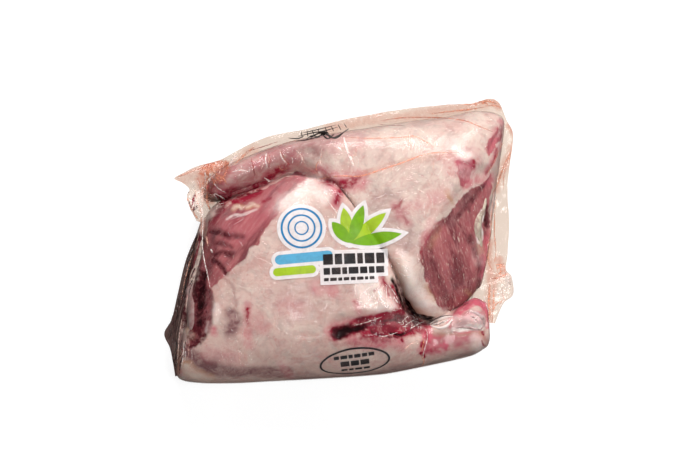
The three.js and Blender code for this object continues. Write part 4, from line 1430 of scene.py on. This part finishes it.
def flesh(name, grain_turn, marbling, flush):
    """Fat and cut muscle under tight film. grain_turn is the direction of the muscle's fibres,
    marbling the strength of the fat between them, and flush how pink the outer fat is."""
    paint = Paint(name)
    mottle = paint.noise(7 * MM, 5, 0.6, 0.8)
    blotch = paint.noise(3 * MM, 4, 0.6, 0.5)
    fine = paint.noise(1.4 * MM, 4, 0.6)
    grain_place = paint.place(grain_turn, (1, 0.14, 0.5))
    grain = paint.noise(1.3 * MM, 4, 0.6, 0.3, grain_place)
    streaks = paint.noise(6 * MM, 3, 0.5, 0.5, grain_place)
    uneven = paint.times(paint.less(paint.sum(mottle, blotch), 1), 1.5)

    fat = fat_colour(paint, grain_turn, flush, mottle, blotch, fine)
    muscle = muscle_colour(paint, grain_turn, marbling, mottle, grain, streaks)
    depth = paint.sum(paint.value("cut"), paint.times(uneven, 4))
    colour = paint.mix(paint.ramp(depth, -1, 1), fat, muscle)
    # the marks lay on tints and blood, and also painted shade and painted highlight
    for mark, tone, broken in TONES:
        share = paint.times(paint.value(mark), paint.sum(paint.times(uneven, broken), 1))
        colour = paint.mix(share, colour, tone)
    # the meat keeps its full brightness under the pale marks, which lifts pale tissue and painted
    # highlights alike
    colour = paint.mix(paint.ramp(paint.value("white"), 0, 1, DEPTH_SHARE, 0), colour, BLACK)

    inputs = WET | {
        "Base Color": colour,
        "Roughness": 0.5,
        "Specular IOR Level": paint.ramp(paint.value("dark"), 0, 0.6, 0.12, 0),
        "Normal": paint.bump(paint.sum(paint.times(fine, 0.5), grain), 0.22, 0.4 * MM),
        "Subsurface Scale": 1,
    }
    return paint.finish(paint.add("BsdfPrincipled", inputs))


def strand_flesh():
    """Sinew, bone and wet tissue, by tone."""
    paint = Paint("strand_flesh")
    tone = paint.value("tone")
    mottle = paint.noise(3 * MM, 4, 0.6, 0.5)
    colour = paint.layered(
        shade(238, 222, 200),
        (shade(246, 212, 210), tone, 0.02, 0.3),
        (shade(226, 112, 132), tone, 0.35, 0.6),
        (shade(172, 142, 138), tone, 0.7, 0.95),
        (shade(150, 96, 98), mottle, 0.42, 0.66, 0, 0.6),
    )
    colour = paint.mix(DEPTH_SHARE, colour, BLACK)
    inputs = WET | {"Base Color": colour, "Roughness": 0.4, "Specular IOR Level": 0.3}
    return paint.finish(paint.add("BsdfPrincipled", inputs))


CRINKLES = ((26 * MM, 20), (18 * MM, -50), (34 * MM, 80))  # size and turn of fine creases
CRINKLE_WIDTH, CRINKLE_HEIGHT = 0.012, 0.8
MIRROR_LEAST, MIRROR_GRAZING = 0.026, 0.3  # what clear film mirrors head on, and more at its rim
STAIN = shade(220, 150, 126)
MILK = shade(242, 228, 222)


def mirror_share(paint, normal):
    """How much a clear surface mirrors, from head on to grazing."""
    facing = paint.add("LayerWeight", {"Blend": 0.5, "Normal": normal}).outputs["Facing"]
    share = paint.sum(paint.times(paint.maths("POWER", facing, 5), MIRROR_GRAZING), MIRROR_LEAST)
    return paint.times(share, paint.ramp(paint.value("calm"), 0, 1, 1, 0.1))


def clear_film(name, tint, haze, bump_height):
    """Thin clear film: what lies behind shows through, under reflections and a slight haze."""
    paint = Paint(name)
    ripples = paint.noise(4 * MM, 4, 0.55, 0.8)
    height = paint.sum(ripples, paint.noise(5 * MM, 3, 0.5, 0.4, paint.place(25, (1, 0.2, 1))))
    for size, turn in CRINKLES:
        wave = paint.noise(size, 2, 0.5, 1.2, paint.place(turn, (1, 0.5, 1)))
        off = paint.maths("ABSOLUTE", paint.less(wave, 0.5))
        height = paint.sum(height, paint.ramp(off, 0, CRINKLE_WIDTH, CRINKLE_HEIGHT, 0))
    bump = paint.bump(height, 0.5, bump_height)
    stain = paint.times(paint.value("stain"), paint.ramp(ripples, 0.3, 0.65, 0.55, 1.1))
    see = paint.add("BsdfTransparent", {"Color": paint.mix(stain, tint, STAIN)})
    milk_and_painted_glare = paint.add("BsdfDiffuse", {"Color": paint.mix(stain, MILK, STAIN), "Normal": bump})
    # the milky marks also paint glare on the film, as painted highlight
    cloud = paint.times(paint.value("milk_and_painted_glare"), paint.ramp(ripples, 0.35, 0.7, 0.15, 0.5))
    cloud = paint.sum(cloud, paint.times(stain, 0.1))
    veil = paint.blend(paint.sum(cloud, haze), see, milk_and_painted_glare)
    shine = paint.add("BsdfGlossy", {"Roughness": 0.11, "Normal": bump})
    return paint.finish(paint.blend(mirror_share(paint, bump), veil, shine))


def folded_film_and_glints():
    """Film folded on itself: pale where clear, as painted glints too; amber and dark red where fluid
    lies in it; dark brown painted shade.
    """
    paint = Paint("folded_film_and_glints")
    tone = paint.value("tone")
    colour = paint.layered(
        MILK,
        (shade(224, 150, 118), tone, 0.05, 0.5),
        (shade(150, 40, 56), tone, 0.55, 0.95),
        # dark brown: painted shade
        (shade(52, 34, 32), tone, 1.1, 1.5),
    )
    rough = paint.noise(1.6 * MM, 3, 0.6)
    inputs = {"Base Color": colour, "Roughness": 0.22, "Specular IOR Level": 0.6}
    inputs["Normal"] = paint.bump(rough, 0.3, 0.3 * MM)
    solid = paint.add("BsdfPrincipled", inputs)
    see = paint.add("BsdfTransparent", {"Color": WHITE})
    share = paint.ramp(rough, 0.34, 0.66, 0.1, 0.9)
    share = paint.maths("MAXIMUM", share, paint.ramp(tone, -0.1, -0.5))
    return paint.finish(paint.blend(share, see, solid))


# Ink, colour and how well it covers, in the order in which they are printed.
INKS = (
    ("white", shade(252, 246, 246), 0.74),
    ("sky", shade(88, 172, 210), 0.92),
    ("lime", shade(168, 200, 36), 0.92),
    ("green", shade(116, 170, 14), 0.94),
    ("blue", shade(10, 122, 178), 0.95),
    ("black", shade(22, 20, 24), 0.95),
)
INK_EDGE = 0.12  # half-width of an ink's soft edge, in mm


def printed(name, used):
    """Inks on film, each where its own number is above 0, and nothing elsewhere."""
    paint = Paint(name)
    worn = paint.ramp(paint.noise(6 * MM, 5, 0.65, 0.5), 0.3, 0.62, 0.8, 1)
    colour, cover = WHITE, 0
    for ink, tone, strength in INKS:
        if ink not in used:
            continue
        share = paint.ramp(paint.value(ink), -INK_EDGE, INK_EDGE)
        colour = paint.mix(share, colour, tone)
        cover = paint.maths("MAXIMUM", cover, paint.times(share, strength))
    inputs = {"Base Color": colour, "Roughness": 0.3, "Specular IOR Level": 0.4}
    see, ink = paint.add("BsdfTransparent"), paint.add("BsdfPrincipled", inputs)
    return paint.finish(paint.blend(paint.times(cover, worn), see, ink))


def black_ink():
    """Worn black ink."""
    paint = Paint("black_ink")
    worn = paint.noise(1.5 * MM, 3, 0.6)
    colour = paint.mix(paint.ramp(worn, 0.35, 0.7), shade(26, 22, 24), shade(84, 74, 70))
    ink = paint.add("BsdfPrincipled", {"Base Color": colour, "Roughness": 0.35})
    return paint.finish(ink)


# ---- Floor and light ------------------------------------------------------------------------

FLOOR_HALF = 12.0
FLOOR_SHADES = (shade(150, 150, 150), shade(156, 156, 156))
FLOOR_GLOW = 0.82
# The studio's brightness, from below through the horizon to overhead: height and brightness.
SKY = ((0, 0.06), (0.495, 0.06), (0.5, 0.9), (0.55, 0.9), (0.64, 0.14))
LIGHTS = (  # name, place, size and power
    ("key", (0.15, 1.15, 1.0), (1.1, 0.7), 24),
    ("fill", (0.38, -0.3, 1.38), (0.5, 0.5), 9.6),
)


def make_floor():
    corners = [(x * FLOOR_HALF, y * FLOOR_HALF, 0) for x, y in ((-1, -1), (1, -1), (1, 1), (-1, 1))]
    floor = mesh_object("floor", corners, [(0, 1, 2, 3)])
    paint = Paint("white_floor")
    inputs = {
        "Base Color": paint.mix(paint.ramp(paint.noise(60 * MM, 2), 0.3, 0.7), *FLOOR_SHADES),
        "Roughness": 0.9,
        "Specular IOR Level": 0,
        "Emission Color": WHITE,
        "Emission Strength": FLOOR_GLOW,
    }
    dress(floor, paint.finish(paint.add("BsdfPrincipled", inputs)))
    floor.visible_diffuse = floor.visible_glossy = floor.visible_shadow = False


def make_studio():
    """Soft light all round: pale at the horizon, dim overhead and dark below."""
    world = bpy.data.worlds.new("studio")
    world.use_nodes = True
    tree = world.node_tree
    background = tree.nodes["Background"]
    split = tree.nodes.new("ShaderNodeSeparateXYZ")
    tree.links.new(tree.nodes.new("ShaderNodeTexCoord").outputs["Generated"], split.inputs[0])
    ramp = tree.nodes.new("ShaderNodeValToRGB")
    stops = ramp.color_ramp.elements
    for height, level in SKY[1:-1]:
        stops.new(height).color = (level, level, level, 1)
    for stop, (height, level) in ((stops[0], SKY[0]), (stops[-1], SKY[-1])):
        stop.position, stop.color = height, (level, level, level, 1)
    half = tree.nodes.new("ShaderNodeMapRange")
    half.inputs["From Min"].default_value = -1
    tree.links.new(split.outputs["Z"], half.inputs["Value"])
    tree.links.new(half.outputs["Result"], ramp.inputs["Fac"])
    tree.links.new(ramp.outputs["Color"], background.inputs["Color"])
    bpy.context.scene.world = world


def make_light(name, place, size, power):
    data = bpy.data.lights.new(name, "AREA")
    data.shape, data.size, data.size_y = "RECTANGLE", *size
    data.energy = power
    light = bpy.data.objects.new(name, data)
    light.location = place
    light.rotation_euler = (AIM - Vector(place)).to_track_quat("-Z", "Y").to_euler()
    bpy.context.scene.collection.objects.link(light)


def make_lights():
    make_studio()
    for light in LIGHTS:
        make_light(*light)
    bpy.context.scene.view_settings.view_transform = "Standard"


# ---- The pack -------------------------------------------------------------------------------


def make_meat():
    """The two shanks, and the strands that stand out on them."""
    far = make_shank("far_shank", FAR_STATIONS, FAR_CAPS, -1, FAR_CUTS)
    near = make_shank("near_shank", NEAR_STATIONS, NEAR_CAPS, 1, NEAR_CUTS)
    strands = make_ridges("strands", Skin((far, near)), STRANDS, STRAND_SINK)
    dress(far, flesh("far_flesh", grain_turn=-20, marbling=0.75, flush=0.12))
    dress(near, flesh("near_flesh", grain_turn=35, marbling=0.25, flush=0.5))
    dress(strands, strand_flesh())
    return far, near, strands


def make_bag(meat):
    """The tight film, its loose edge and its tucked side."""
    film = make_film(meat)
    edge = make_flange("film_edge", LOOSE_EDGE, crumple=1.2 * MM, seed=11)
    tuck = make_flange("film_tuck", TUCK, crumple=1.0 * MM, seed=17)
    dress(film, clear_film("film", (0.985, 0.975, 0.965, 1), haze=0.006, bump_height=0.42 * MM))
    dress(edge, clear_film("loose_film", shade(238, 228, 220), haze=0.03, bump_height=0.7 * MM))
    # the tucked film's dark tint is painted shade of the side wall behind it
    dress(tuck, clear_film("tucked_film_painted_shade", shade(136, 114, 110), haze=0.03, bump_height=0.7 * MM))
    return film, edge, tuck


def make_prints(bag):
    """The crumpled mark on the edge, the label and the stamp."""
    strokes = [(path, half_width, INK_HEIGHT, 1) for path, half_width in INK_STROKES]
    mark = make_ridges("edge_print", Skin(bag), strokes, 0)
    film = Skin(bag[:1])
    label = make_print("label_print", film, LABEL_MIDDLE, LABEL_TURN, LABEL_SIZE, label_inks)
    stamp = make_print("stamp_print", film, STAMP_MIDDLE, STAMP_TURN, STAMP_SIZE, stamp_inks)
    dress(mark, black_ink())
    dress(label, printed("label_ink", {ink for ink, _, _ in INKS}))
    dress(stamp, printed("stamp_ink", {"black"}))
    return mark, label, stamp


def main():
    make_camera()
    meat = make_meat()
    bag = make_bag(meat)
    membrane = make_membrane("membrane", Skin(bag[:1]), NEAR_CUTS)
    dress(membrane, meat[1].data.materials[0])
    folds = make_ridges("film_folds", Skin(bag), [*FOLDS, *crumpled_paths()], FOLD_SINK, FOLD_HEIGHT)
    dress(folds, folded_film_and_glints())
    prints = make_prints(bag)

    for piece in (*meat, membrane, *bag, folds, *prints):
        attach(piece, "root")
        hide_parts(BAG_NODE)
    for piece in (*bag, folds):
        piece.visible_shadow = False  # clear film takes no light from the meat
    make_floor()
    make_lights()


main()
